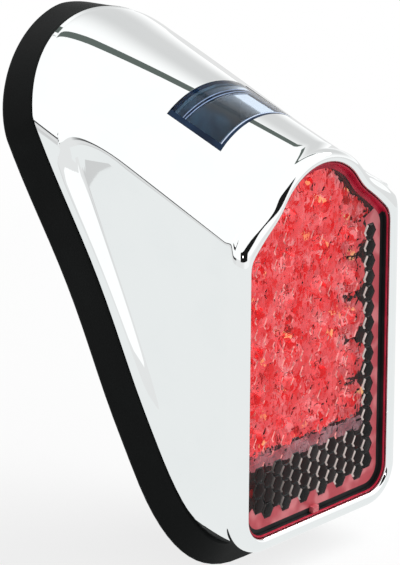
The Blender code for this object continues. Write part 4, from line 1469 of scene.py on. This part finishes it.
@dataclass
class RedLens:
    """The red lens with its field of hexagonal pillows."""

    face: float = 0.0022
    back: float = 0.0044
    edge: float = -0.00005
    rim_face: float = 0.0005
    rim_round: float = 0.0004
    rim_bend: Point = (0.4, 0.2)
    rim_inner: float = -0.0008
    strip: float = -0.0024
    field_edge: float = -0.0042
    skirt: float = -0.0019
    skirt_end: float = 0.0106
    pitch: float = 0.0050
    height: float = 0.00050
    lit_height: float = 0.00014
    lit_low: float = 0.0270
    lit_right: float = 0.0240
    frost_top: float = 0.0965
    frost_left: float = 0.016625
    frost_low: float = 0.0150
    tab_half_width: float = 0.0015
    tab_foot: float = 0.0002
    tab_reach: float = 0.0004
    tab_levels: tuple[Point, ...] = ((0.0, 0.00048), (0.0002, 0.00018))
    overlap: float = 0.00002
    seed: int = 11
    wobble: float = 0.07
    lit_arcs: float = 0.45
    flank: tuple[int, ...] = (4, 5, 6)
    lit_flanks: tuple[tuple[int, ...], ...] = ((4, 5, 6), (4, 5), (5, 6), (5,))
    pillow: tuple[Point, ...] = ((0.91, 0.5), (0.82, 0.8), (0.66, 0.95), (0.36, 1.0))

    @staticmethod
    def inside(point: Vector, outline: Ring) -> bool:
        """Whether a point lies inside a closed outline.

        Args:
            point: The point.
            outline: The outline.

        Returns:
            True where it does.
        """
        found = False
        for a, b in pairs(outline):
            if (a.y > point.y) != (b.y > point.y):
                crossing = a.x + (point.y - a.y) * (b.x - a.x) / (b.y - a.y)
                found ^= point.x < crossing
        return found

    def hexagon(self, x: float, z: float) -> Ring:
        """Corners and edge middles of one cell.

        Args:
            x: Centre of the cell.
            z: Centre of the cell.

        Returns:
            Twelve points as (x, z).
        """
        corners = [Vector((x, z)) + corner for corner in circle(self.pitch / math.sqrt(3), 6)]
        return [point for a, b in pairs(corners) for point in (a, (a + b) / 2)]

    def cells(self) -> list[Point]:
        """Finds the whole hexagons that fit inside the border.

        Returns:
            Their centres.
        """
        limit = FRONT.points(self.field_edge)
        column_pitch = 1.5 * self.pitch / math.sqrt(3)
        columns = int(FRONT.half_width / column_pitch) + 1
        rows = int((FRONT.arch_centre + FRONT.arch_radius) / self.pitch) + 1
        found = []
        for column in range(-columns, columns + 1):
            shift = self.pitch / 2 * (column % 2)
            for row in range(rows):
                x = column * column_pitch
                z = FRONT.bottom + row * self.pitch + shift
                if all(self.inside(point, limit) for point in self.hexagon(x, z)[::2]):
                    found.append((x, z))
        return found

    def pillow_cell(self, solid: Solid, x: float, z: float, chance: random.Random) -> None:
        """Adds one domed cell.

        Args:
            solid: The lens in the making.
            x: Centre of the cell.
            z: Centre of the cell.
            chance: Source of the small tilts that break up the light.
        """
        rim = self.hexagon(x, z)
        # Low or right cells are in painted shade: a darker dome, a black foot ring and a painted
        # highlight on the left flank.
        tall_and_shaded = z < self.lit_low or x > self.lit_right
        height = self.height if tall_and_shaded else self.lit_height
        tilt = Vector((chance.uniform(-1, 1), chance.uniform(-1, 1))) * self.wobble
        rings = [[Vector((p.x, self.face, p.y)) for p in rim]]
        for share, rise in self.pillow:
            ring = []
            for p in rim:
                away = (p - Vector((x, z))) * share
                lift = rise * height + away.dot(tilt) * rise
                ring.append(Vector((x + away.x, self.face - lift, z + away.y)))
            rings.append(ring)
        dome = Finish.PAINTED_SHADE_LENS if tall_and_shaded else Finish.RED_LENS
        rows = solid.loft(rings[:2], Finish.BLACK_AND_SHADE if tall_and_shaded else dome)
        rows += [solid.ring(ring) for ring in rings[2:]]
        solid.skin(*rows[1:], finish=dome)
        if tall_and_shaded:
            self.arc(solid, rows, self.flank, Finish.PAINTED_HIGHLIGHT_ARC)
        elif chance.random() < self.lit_arcs:
            self.arc(solid, rows, chance.choice(self.lit_flanks), Finish.PAINTED_GLINT_ARC)
        top = solid.shape.verts.new((x, self.face - height, z))
        solid.paint([solid.shape.faces.new((a, b, top)) for a, b in pairs(rows[-1])], dome)

    @staticmethod
    def arc(solid: Solid, rows: list[Row], sides: tuple[int, ...], finish: Finish) -> None:
        """Gives a cell's left flank, where it catches the light, a painted highlight or glint.

        Args:
            solid: The lens in the making.
            rows: The cell's rings of points, the outer one first.
            sides: Which of its twelve half sides.
            finish: The finish.
        """
        for near, far in zip(rows[:2], rows[1:]):
            flank = [(near[k], near[k + 1], far[k + 1], far[k]) for k in sides]
            solid.paint([solid.shape.faces.get(corners) for corners in flank], finish)

    def tab(self, solid: Solid) -> None:
        """Adds the gate tab between the rim and the field.

        Args:
            solid: The lens in the making.
        """
        low = FRONT.bottom - self.rim_inner - self.tab_foot
        high = FRONT.bottom - self.strip + self.tab_reach
        rings = [rectangle(self.tab_half_width, low, high, self.face - self.overlap)]
        for inset, drop in self.tab_levels:
            half = self.tab_half_width - inset
            rings.append(rectangle(half, low + inset, high - inset, self.rim_face + drop))
        solid.loft(rings, Finish.FROSTED, caps=True)

    def frosted(self, face: bmesh.types.BMFace) -> bool:
        """Whether a face of the border lies where the mould is sand-blasted.

        Args:
            face: The face.

        Returns:
            True on the right, below the shoulder, and along the bottom.
        """
        centre = face.calc_center_median()
        right = centre.x > self.frost_left and centre.z < self.frost_top
        return right or centre.z < self.frost_low

    def field(self, solid: Solid) -> Row:
        """Adds the pillows and the flat border round them.

        Args:
            solid: The lens in the making.

        Returns:
            The border's outer ring.
        """
        chance = random.Random(self.seed)
        for x, z in self.cells():
            self.pillow_cell(solid, x, z, chance)
        bmesh.ops.remove_doubles(solid.shape, verts=solid.shape.verts, dist=self.pitch / 200)
        field_edges = [edge for edge in solid.shape.edges if edge.is_boundary]
        border = solid.ring(FRONT.ring(self.strip, self.face))
        flat = solid.fill(field_edges + solid.edges_of(border))
        solid.paint([face for face in flat if self.frosted(face)], Finish.FROSTED)
        return border

    def build(self) -> None:
        """Makes the lens: field, inner wall, rim, skirt and tab."""
        solid = Solid(
            Finish.RED_LENS, Finish.RIM, Finish.BLACK_AND_SHADE, Finish.FROSTED,
            Finish.FACETED, Finish.PAINTED_HIGHLIGHT_ARC, Finish.PAINTED_GLINT_ARC, Finish.PAINTED_SHADE_LENS,
        )
        border = self.field(solid)
        wall_end = self.rim_face + self.rim_round
        wall = [FRONT.ring(self.rim_inner, depth) for depth in (self.face, wall_end)]
        wall_rows = [solid.ring(ring) for ring in wall]
        # The inner wall is black below the shoulders: painted shade. Over the arch it takes the rim's
        # crimson.
        solid.skin(border, *wall_rows, finish=Finish.BLACK_AND_SHADE)
        arched = [f for f in solid.painted(Finish.BLACK_AND_SHADE) if f.calc_center_median().z > FRONT.shoulder]
        solid.paint(arched, Finish.RIM)
        across, down = (share * self.rim_round for share in self.rim_bend)
        rim = (
            (self.rim_inner + across, self.rim_face + down),
            ((self.rim_inner + self.edge) / 2, self.rim_face),
            (self.edge - across, self.rim_face + down),
            (self.edge, wall_end),
        )
        rim_rows = [solid.ring(FRONT.ring(*place)) for place in rim]
        solid.skin(wall_rows[-1], *rim_rows, finish=Finish.RIM)
        skirt = ((self.edge, self.skirt_end), (self.skirt, self.skirt_end), (self.skirt, self.back))
        skirt_rows = [solid.ring(FRONT.ring(*place)) for place in skirt]
        # The skirt is black: painted shade seen through the clear strip.
        solid.skin(rim_rows[-1], *skirt_rows, finish=Finish.BLACK_AND_SHADE)
        solid.cap(skirt_rows[-1], Finish.FACETED)
        self.tab(solid)
        settle(solid.piece("lens_moulding", sharp=40.0), "lens")


@dataclass
class LampTray:
    """The reflector tray, its lamps and the board behind them."""

    front: float = 0.0070
    back: float = 0.0082
    edge: float = -0.0022
    cup_mouth: float = 0.0062
    arch_mouth: float = 0.0056
    cup_throat: float = 0.0030
    cup_bends: tuple[Point, ...] = ((1.0, 0.0), (0.8, 0.35), (0.62, 0.7))
    column_pitch: float = 0.0150
    row_pitch: float = 0.0134
    first_row: float = 0.0350
    rows: int = 5
    top_spacing: float = 0.0090
    lit_columns: float = 1.25
    lit_below: float = 0.9
    lit_arch: float = 0.6
    lamp_radius: float = 0.0024
    lamp_flange: float = 0.0028
    flange_height: float = 0.0007
    flange_slope: float = 0.0001
    lamp_height: float = 0.0033
    dome: float = 0.0019
    dome_steps: int = 6
    lamp_facets: int = 20
    band_height: float = 0.0045
    band_inset: float = 2.5
    band_levels: tuple[Point, ...] = ((0.0, 0.0), (0.0, 0.0002), (0.0002, 0.0003))
    overlap: float = 0.00002
    facets: int = 24

    def places(self) -> list[Point]:
        """Four columns of lamps, two more in the arch and one at its top.

        Returns:
            The lamps' places as (x, z).
        """
        outer = 1.5 * self.column_pitch
        inner = 0.5 * self.column_pitch
        found = []
        for row in range(self.rows):
            z = self.first_row + row * self.row_pitch
            found += [(x, z) for x in (-outer, -inner, inner, outer)]
        arch_row = self.first_row + self.rows * self.row_pitch
        return found + [(-inner, arch_row), (inner, arch_row), (0.0, arch_row + self.top_spacing)]

    def lit(self, face: bmesh.types.BMFace) -> bool:
        """Whether a bit of the tray's front between the cups gets the painted glow; the rest stays black
        as painted shade.

        Args:
            face: The face.

        Returns:
            True in the arch, and left of the last column above the band.
        """
        centre = face.calc_center_median()
        arch = self.first_row + (self.rows - self.lit_arch) * self.row_pitch
        low = self.first_row - self.lit_below * self.cup_mouth
        return centre.z > arch or (centre.x < self.lit_columns * self.column_pitch and centre.z > low)

    def cup(self, x: float, z: float, mouth: float) -> list[Ring]:
        """Rings of one cup.

        Args:
            x: Its middle.
            z: Its middle.
            mouth: Its radius at the tray's front.

        Returns:
            The rings, from the front to the back.
        """
        rings = []
        bends = [(mouth * part, share) for part, share in self.cup_bends]
        for radius, share in bends + [(self.cup_throat, 1.0)]:
            depth = self.front + share * (self.back - self.front)
            rings.append([Vector((x + p.x, depth, z + p.y)) for p in circle(radius, self.facets)])
        return rings

    def build_tray(self) -> None:
        """Makes the tray: a black plate with shallow metallised cups; the cups and part of the plate
        carry a painted glow.
        """
        solid = Solid(Finish.TRAY_AND_SHADE, Finish.MOSAIC_PAINTED_GLOW, Finish.DIM_PAINTED_GLOW)
        front, back = solid.loft([FRONT.ring(self.edge, depth) for depth in (self.front, self.back)])
        mouths = []
        throats = []
        for number, (x, z) in enumerate(self.places()):
            mouth = self.cup_mouth if number < 4 * self.rows else self.arch_mouth
            rows = solid.loft(self.cup(x, z, mouth), Finish.MOSAIC_PAINTED_GLOW)
            mouths.append(rows[0])
            throats.append(rows[-1])
        flat = solid.fill_loops(front, *mouths)
        # Painted glow on the arch and the plate's upper left; the rest stays black as painted shade.
        solid.paint([face for face in flat if self.lit(face)], Finish.MOSAIC_PAINTED_GLOW)
        solid.fill_loops(back, *throats)
        self.dim_band(solid)
        settle(solid.piece("lamp_tray"), "reflector_tray")

    def dim_band(self, solid: Solid) -> None:
        """Adds the rib below the lowest lamps, with a painted glow for the stray light it catches.

        Args:
            solid: The tray in the making.
        """
        high = self.first_row - self.cup_mouth
        low = high - self.band_height
        half = FRONT.half_width + self.band_inset * self.edge
        foot = self.front + self.overlap
        rings = []
        for inset, rise in self.band_levels:
            rings.append(rectangle(half - inset, low + inset, high, foot - rise))
        solid.loft(rings, Finish.DIM_PAINTED_GLOW, caps=True)

    def build_lamps(self) -> None:
        """Makes a domed lamp on its flange for each cup."""
        slope = self.flange_height + self.flange_slope
        profile = [(0.0, 0.0), (self.lamp_flange, 0.0), (self.lamp_flange, self.flange_height)]
        profile.append((self.lamp_radius, slope))
        for k in range(self.dome_steps):
            angle = math.pi / 2 * k / self.dome_steps
            height = self.lamp_height - self.dome + self.dome * math.sin(angle)
            profile.append((self.lamp_radius * math.cos(angle), height))
        profile.append((0.0, self.lamp_height))
        turn = Matrix.Rotation(math.pi / 2, 4, "X")
        for number, (x, z) in enumerate(self.places(), 1):
            solid = Solid(Finish.RED_LAMP)
            solid.turned(profile, Matrix.Translation((x, self.back, z)) @ turn, self.lamp_facets)
            lamp = solid.piece(f"lamp_dome_{number:02d}", sharp=45.0)
            settle(lamp, f"tail_led_{number:02d}")

    def dress(self) -> None:
        """Gives the board and what is on it their finishes."""
        finishes = {
            "led_board": Finish.BOARD,
            "board_connector": Finish.BLACK_AND_SHADE,
            "current_regulator": Finish.BLACK_AND_SHADE,
            "lens_seal": Finish.RUBBER,
        }
        dress_nodes(finishes | {f"lens_screw_{k}": Finish.STEEL for k in range(1, 5)})


@dataclass
class BaseSet:
    """The rubber pad with the plate, screws, studs and grommet behind it."""

    pad_front: float = -0.0003
    pad_inset: float = 0.0022
    ledge: float = 0.00055
    ledge_lift: float = 0.8
    edge_round: float = 0.0010
    foot_round: float = 0.7
    round_shares: Shares = (0.35, 0.7, 1.0)
    side_shares: Shares = (0.05, 0.25, 0.5, 0.75, 0.95)
    stud_radius: float = 0.0030
    stud_play: float = 0.0006
    stud_reach: float = 0.0200
    stud_tip: tuple[Point, ...] = ((0.0008, 0.0), (0.0004, 0.0005))
    stud_head: float = 0.0070
    stud_head_height: float = 0.0020
    stud_seat: float = 0.0021
    stud_spacing: float = 0.0800
    head_foot: float = 0.0003
    head_chamfer: float = 0.0004
    shank_inset: float = 0.0001
    shank: float = 0.0035
    thread_start: float = 0.0008
    thread_pitch: float = 0.0010
    thread_depth: float = 0.0005
    stud_facets: int = 28
    wire_place: float = 0.1035
    wire_radius: float = 0.0097
    grommet_bore: float = 0.0055
    grommet_neck: float = 0.0069
    grommet_flange: float = 0.0091
    grommet_height: float = 0.0021
    flange_height: float = 0.0020
    flange_round: Point = (0.0005, 0.0006)
    bore_chamfer: float = 0.0004
    facets: int = 32
    weld: float = 0.000001

    def studs(self) -> list[float]:
        """Places of the two studs up the base."""
        return [SLANT.middle - self.stud_spacing / 2, SLANT.middle + self.stud_spacing / 2]

    def hole(self, s: float, radius: float, height: float) -> Ring:
        """A circle on a plane parallel to the base."""
        return [SLANT.point(p.x, s + p.y, height) for p in circle(radius, self.facets)]

    def build_pad(self) -> None:
        """Makes the pad: a thick rubber sole that flares towards the fender."""
        solid = Solid(Finish.RUBBER)
        corner = self.edge_round - self.ledge
        top = [base_ring(BASE, self.pad_inset, self.pad_front)]
        top.append(base_ring(BASE, corner, self.pad_front, self.ledge_lift))
        foot = [base_ring(PAD, 0.0, SLANT.pad_back + self.edge_round)]
        for share in self.round_shares:
            across = self.edge_round * math.sin(math.pi / 2 * share)
            down = self.edge_round * (1 - math.cos(math.pi / 2 * share))
            top.append(base_ring(BASE, corner - across, self.pad_front - down, 1.0))
            foot.append(base_ring(PAD, self.foot_round * down, SLANT.pad_back + self.edge_round - across))
        rows = solid.loft(top + between(top[-1], foot[0], self.side_shares) + foot)
        holes = [(s, self.stud_radius + self.stud_play) for s in self.studs()]
        tops = [rows[0]]
        foots = [rows[-1]]
        for s, radius in holes + [(self.wire_place, self.wire_radius)]:
            ends = [self.hole(s, radius, height) for height in (self.pad_front, SLANT.pad_back)]
            high, low = solid.loft(ends)
            tops.append(high)
            foots.append(low)
        solid.fill_loops(*tops)
        solid.fill_loops(*foots)
        settle(solid.piece("rubber_pad"), "base_gasket")

    def stud_profile(self) -> list[Point]:
        """Tip, thread, shank and head of a stud.

        Returns:
            Radius and height, from the tip to the head.
        """
        tip = SLANT.pad_back - self.stud_reach
        profile = [(0.0, tip)]
        profile += [(self.stud_radius - inset, tip + rise) for inset, rise in self.stud_tip]
        height = tip + self.thread_start
        while height < self.stud_seat - self.shank:
            profile.append((self.stud_radius - self.thread_depth, height))
            profile.append((self.stud_radius, height + self.thread_pitch / 2))
            height += self.thread_pitch
        top = self.stud_seat + self.stud_head_height
        shank = self.stud_radius - self.shank_inset
        return profile + [
            (shank, height),
            (shank, self.stud_seat),
            (self.stud_head - self.head_foot, self.stud_seat),
            (self.stud_head, self.stud_seat + self.head_foot),
            (self.stud_head, top - self.head_chamfer),
            (self.stud_head - self.head_chamfer, top),
            (0.0, top),
        ]

    def build_studs(self) -> None:
        """Makes the two threaded studs."""
        for name, s in zip(("lower", "upper"), self.studs()):
            solid = Solid(Finish.STEEL)
            solid.turned(self.stud_profile(), SLANT.upright(s), self.stud_facets)
            settle(solid.piece(f"stud_{name}", sharp=25.0), f"mounting_stud_{name}")

    def build_grommet(self) -> None:
        """Makes the rubber grommet in the wire hole."""
        across, down = self.flange_round
        flange = [
            (self.grommet_flange, 0.0),
            (self.grommet_flange, self.flange_height - down),
            (self.grommet_flange - across, self.flange_height),
            (self.grommet_bore + self.bore_chamfer, self.flange_height),
            (self.grommet_bore, self.flange_height - self.bore_chamfer),
        ]
        profile = [(radius, -height) for radius, height in reversed(flange)]
        profile += [(self.grommet_neck, 0.0), (self.grommet_neck, self.grommet_height)]
        profile += [(radius, self.grommet_height + height) for radius, height in flange]
        profile.append(profile[0])
        solid = Solid(Finish.RUBBER)
        solid.turned(profile, SLANT.upright(self.wire_place), self.facets)
        bmesh.ops.remove_doubles(solid.shape, verts=solid.shape.verts, dist=self.weld)
        settle(solid.piece("grommet"), "wire_grommet")

    def dress(self) -> None:
        """Gives the plate and its screws their finish."""
        finishes = {f"base_screw_{k}": Finish.STEEL for k in range(1, 5)}
        dress_nodes({"base_plate": Finish.STEEL} | finishes)


# Studio


def towards(azimuth: float, height: float) -> Vector:
    """A direction.

    Args:
        azimuth: Its azimuth in degrees, from the back towards the right.
        height: Its height in degrees.

    Returns:
        The direction, of length 1.
    """
    turn = math.radians(azimuth)
    rise = math.radians(height)
    return Vector((math.sin(turn) * math.cos(rise), math.cos(turn) * math.cos(rise), math.sin(rise)))


@dataclass
class Studio:
    """Pale floor, white surround, soft lamps, dark cards for the chrome, and the camera."""

    turn: float = math.radians(49.819)
    tip: float = math.radians(19.293)
    roll: float = math.radians(0.476)
    focal: float = 6000.0
    shift_right: float = -0.036113
    shift_up: float = 0.076118
    distance: float = 1.84382
    image_height: int = 565
    sensor: float = 36.0
    clip_end: float = 20.0
    floor_radius: float = 0.46
    floor_facets: int = 64
    floor_cloud: Grain = Grain(3.0)
    floor_tones: tuple[Colour, Colour] = ((0.86, 0.86, 0.86), (0.9, 0.9, 0.9))
    floor_mirrored: Colour = (0.885, 0.90, 0.90)
    floor_white: Step = (0.23, 0.437, 0.78, 1.0)
    gap_across: float = -0.79
    gap_ahead: float = 0.61
    gap_edge: Point = (0.90, 0.98)
    gap_dark: Step = (-0.12, -0.09, 0.78, 0.05)
    gap_foot: Step = (-0.235, -0.225, 0.14, 0.0)
    left_shade: Step = (-0.2, -0.6, 0.0, 0.16)
    right_shade: Step = (0.3, 0.7, 0.0, 0.2)
    horizon: Point = (-0.004, 0.004)
    sky: float = 1.1
    white: Colour = (1.0, 1.0, 1.0)
    daylight: float = 0.45
    patch_steps: int = 16
    line_start: Colour = (0.02296, 0.08194, 0.1974)
    line_end: Colour = (0.07315, -0.02705, 0.1365)
    line_side: Colour = (0.0062, 0.0, -0.0052)
    line_shade: Colour = (0.125, 0.15, 0.138)

    def view(self) -> tuple[Vector, Vector, Vector]:
        """Finds how the camera stands.

        Returns:
            Its right, up and forward directions.
        """
        level = math.cos(self.tip)
        ahead = Vector((math.sin(self.turn) * level, math.cos(self.turn) * level, -math.sin(self.tip)))
        right = Vector((math.cos(self.turn), -math.sin(self.turn), 0.0))
        up = right.cross(ahead)
        leaned = math.cos(self.roll) * right + math.sin(self.roll) * up
        return leaned, math.cos(self.roll) * up - math.sin(self.roll) * right, ahead

    def camera(self) -> None:
        """Adds the camera at the photograph's angle."""
        right, up, ahead = self.view()
        place = self.shift_right * right + self.shift_up * up - self.distance * ahead - SLANT.mount()
        data = bpy.data.cameras.new("camera")
        data.sensor_width = self.sensor
        data.lens = self.sensor * self.focal / self.image_height
        data.clip_end = self.clip_end
        obj = placed("camera", data)
        obj.matrix_world = Matrix.Translation(place) @ Matrix((right, up, -ahead)).transposed().to_4x4()
        bpy.context.scene.camera = obj

    def world(self) -> None:
        """Makes the surround: white to the eye and in reflections, softer as daylight."""
        world = bpy.data.worlds.new("surround")
        bpy.context.scene.world = world
        world.use_nodes = True
        graph = Graph(world.node_tree)
        seen, mirror, through = graph.rays()
        across, ahead, height = graph.axes(graph.node("ShaderNodeTexCoord", output="Generated"))
        gap = (self.gap_across * across + self.gap_ahead * ahead).step(*self.gap_edge)
        below = 1.0 - across.step(*self.left_shade) - across.step(*self.right_shade)
        dark = height.step(*self.gap_dark) - height.step(*self.gap_foot)
        below = below + gap * (dark - below)
        sky = below + height.step(*self.horizon) * (self.sky - below)
        level = seen.most(through).most(mirror * sky)
        plain = (1.0 - seen.most(through).most(mirror)) * self.daylight
        inputs = {"Color": self.white, "Strength": level + plain}
        graph.end(graph.node("ShaderNodeBackground", {}, inputs), "ShaderNodeOutputWorld")

    def floor(self, low: float) -> None:
        """Adds the floor.

        Args:
            low: Height of its top.
        """
        shape = bmesh.new()
        segments = self.floor_facets
        bmesh.ops.create_circle(shape, cap_ends=True, segments=segments, radius=self.floor_radius)
        mesh = mesh_from("floor", shape)
        material, graph = new_graph("pale_floor")
        seen, mirror, through = graph.rays()
        tone = graph.mix(graph.noise(self.floor_cloud), *self.floor_tones)
        matt = graph.principled({"Base Color": tone, "Roughness": 1.0, "Specular IOR Level": 0.0})
        across, ahead, _ = graph.axes(graph.place())
        white = (across * across + ahead * ahead).root().step(*self.floor_white)
        shown = graph.mix_shaders(seen.most(through) * white, matt, graph.glow(self.white))
        graph.end(graph.mix_shaders(mirror, shown, graph.glow(self.floor_mirrored)))
        mesh.materials.append(material)
        obj = placed("floor", mesh)
        obj.location = (0.0, 0.0, low)
        obj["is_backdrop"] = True

    def card(self, name: str, corners: Ring, shade: Colour) -> None:
        """Adds a card that only reflections see.

        Args:
            name: Its name.
            corners: Its corners in order.
            shade: Its colour.
        """
        mesh = bpy.data.meshes.new(name)
        mesh.from_pydata(corners, [], [tuple(range(len(corners)))])
        material, graph = new_graph(name)
        graph.end(graph.glow(shade))
        self.hang(name, mesh, material)

    def patch(
        self,
        name: str,
        azimuths: Point,
        heights: Point,
        shade: float,
        radius: float = 1.2,
        soft: float = 0.0,
    ) -> None:
        """Adds a curved card, given by the directions that it covers.

        Args:
            name: Its name.
            azimuths: First and last azimuth in degrees, from the back towards the right.
            heights: First and last height in degrees.
            shade: How bright it looks.
            radius: Its distance.
            soft: Share of its width over which each edge fades to white.
        """
        steps = self.patch_steps
        shares = [k / steps for k in range(steps + 1)]
        turns = [azimuths[0] + (azimuths[1] - azimuths[0]) * share for share in shares]
        rises = [heights[0] + (heights[1] - heights[0]) * share for share in shares]
        points = [radius * towards(turn, rise) for turn in turns for rise in rises]
        firsts = [k * (steps + 1) + j for k in range(steps) for j in range(steps)]
        faces = [(first, first + 1, first + steps + 2, first + steps + 1) for first in firsts]
        mesh = bpy.data.meshes.new(name)
        mesh.from_pydata(points, [], faces)
        cover = mesh.uv_layers.new(name="cover")
        for loop in mesh.loops:
            cover.data[loop.index].uv = divmod(loop.vertex_index, steps + 1)
        material, graph = new_graph(name)
        tone: Wire | Colour = (shade, shade, shade)
        if soft > 0.0:
            run, rise, _ = graph.axes(graph.node("ShaderNodeTexCoord", output="UV"))
            edge = steps * soft
            inside = run.step(0.0, edge) * run.step(steps, steps - edge)
            inside = inside * rise.step(0.0, edge) * rise.step(steps, steps - edge)
            tone = graph.mix(inside, (self.sky, self.sky, self.sky), tone)
        graph.end(graph.principled({
            "Base Color": (0.0, 0.0, 0.0),
            "Specular IOR Level": 0.0,
            "Emission Color": tone,
            "Emission Strength": 1.0,
        }))
        self.hang(name, mesh, material)

    @staticmethod
    def hang(name: str, mesh: bpy.types.Mesh, material: bpy.types.Material) -> None:
        """Puts a card in the studio, hidden from all but reflections.

        Args:
            name: Its name.
            mesh: Its mesh.
            material: Its material.
        """
        mesh.materials.append(material)
        obj = placed(name, mesh)
        obj.visible_camera = False
        obj.visible_diffuse = False
        obj.visible_transmission = False
        obj.visible_volume_scatter = False
        obj.visible_shadow = False
        obj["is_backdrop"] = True

    def lamp(self, name: str, out: Vector, distance: float, side: float, watts: float) -> None:
        """Adds a soft lamp that points at the light.

        Args:
            name: Its name.
            out: The direction that it stands in.
            distance: How far away it stands.
            side: Width of its face.
            watts: Its power.
        """
        data = bpy.data.lights.new(name, "AREA")
        data.shape = "SQUARE"
        data.size = side
        data.energy = watts
        obj = placed(name, data)
        obj.location = distance * out
        obj.rotation_euler = out.to_track_quat("Z", "Y").to_euler()

    def build(self, low: float) -> None:
        """Sets up the whole studio.

        Args:
            low: Height of the floor.
        """
        self.camera()
        self.world()
        self.floor(low)
        self.patch("front_opening", azimuths=(176.0, 236.0), heights=(-3.0, 51.0), shade=0.012)
        start, end, side = (Vector(place) for place in (self.line_start, self.line_end, self.line_side))
        self.card("roof_line", [start - side, start + side, end + side, end - side], self.line_shade)
        self.patch(
            "right_side", azimuths=(10.0, 140.0), heights=(0.0, 56.0), shade=0.72, radius=1.3, soft=0.4
        )
        self.lamp("key_lamp", towards(-148.0, 14.0), distance=1.0, side=0.12, watts=0.55)
        self.lamp("fill_lamp", towards(120.0, 50.0), distance=1.2, side=0.9, watts=14.0)
        bpy.context.scene.view_settings.view_transform = "Standard"


def main() -> None:
    """Builds the light and its studio in order."""
    logging.basicConfig(level=logging.INFO, format="%(message)s")
    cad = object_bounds()
    Studio().build(min(cad[0][2], cad[1][2]) - FLOOR_GAP)
    housing = Housing()
    window = PlateWindow()
    housing.build(window)
    window.build(housing)
    window.dress()
    RedLens().build()
    tray = LampTray()
    tray.build_tray()
    tray.build_lamps()
    tray.dress()
    base = BaseSet()
    base.build_pad()
    base.build_studs()
    base.build_grommet()
    base.dress()


if __name__ == "__main__":
    main()
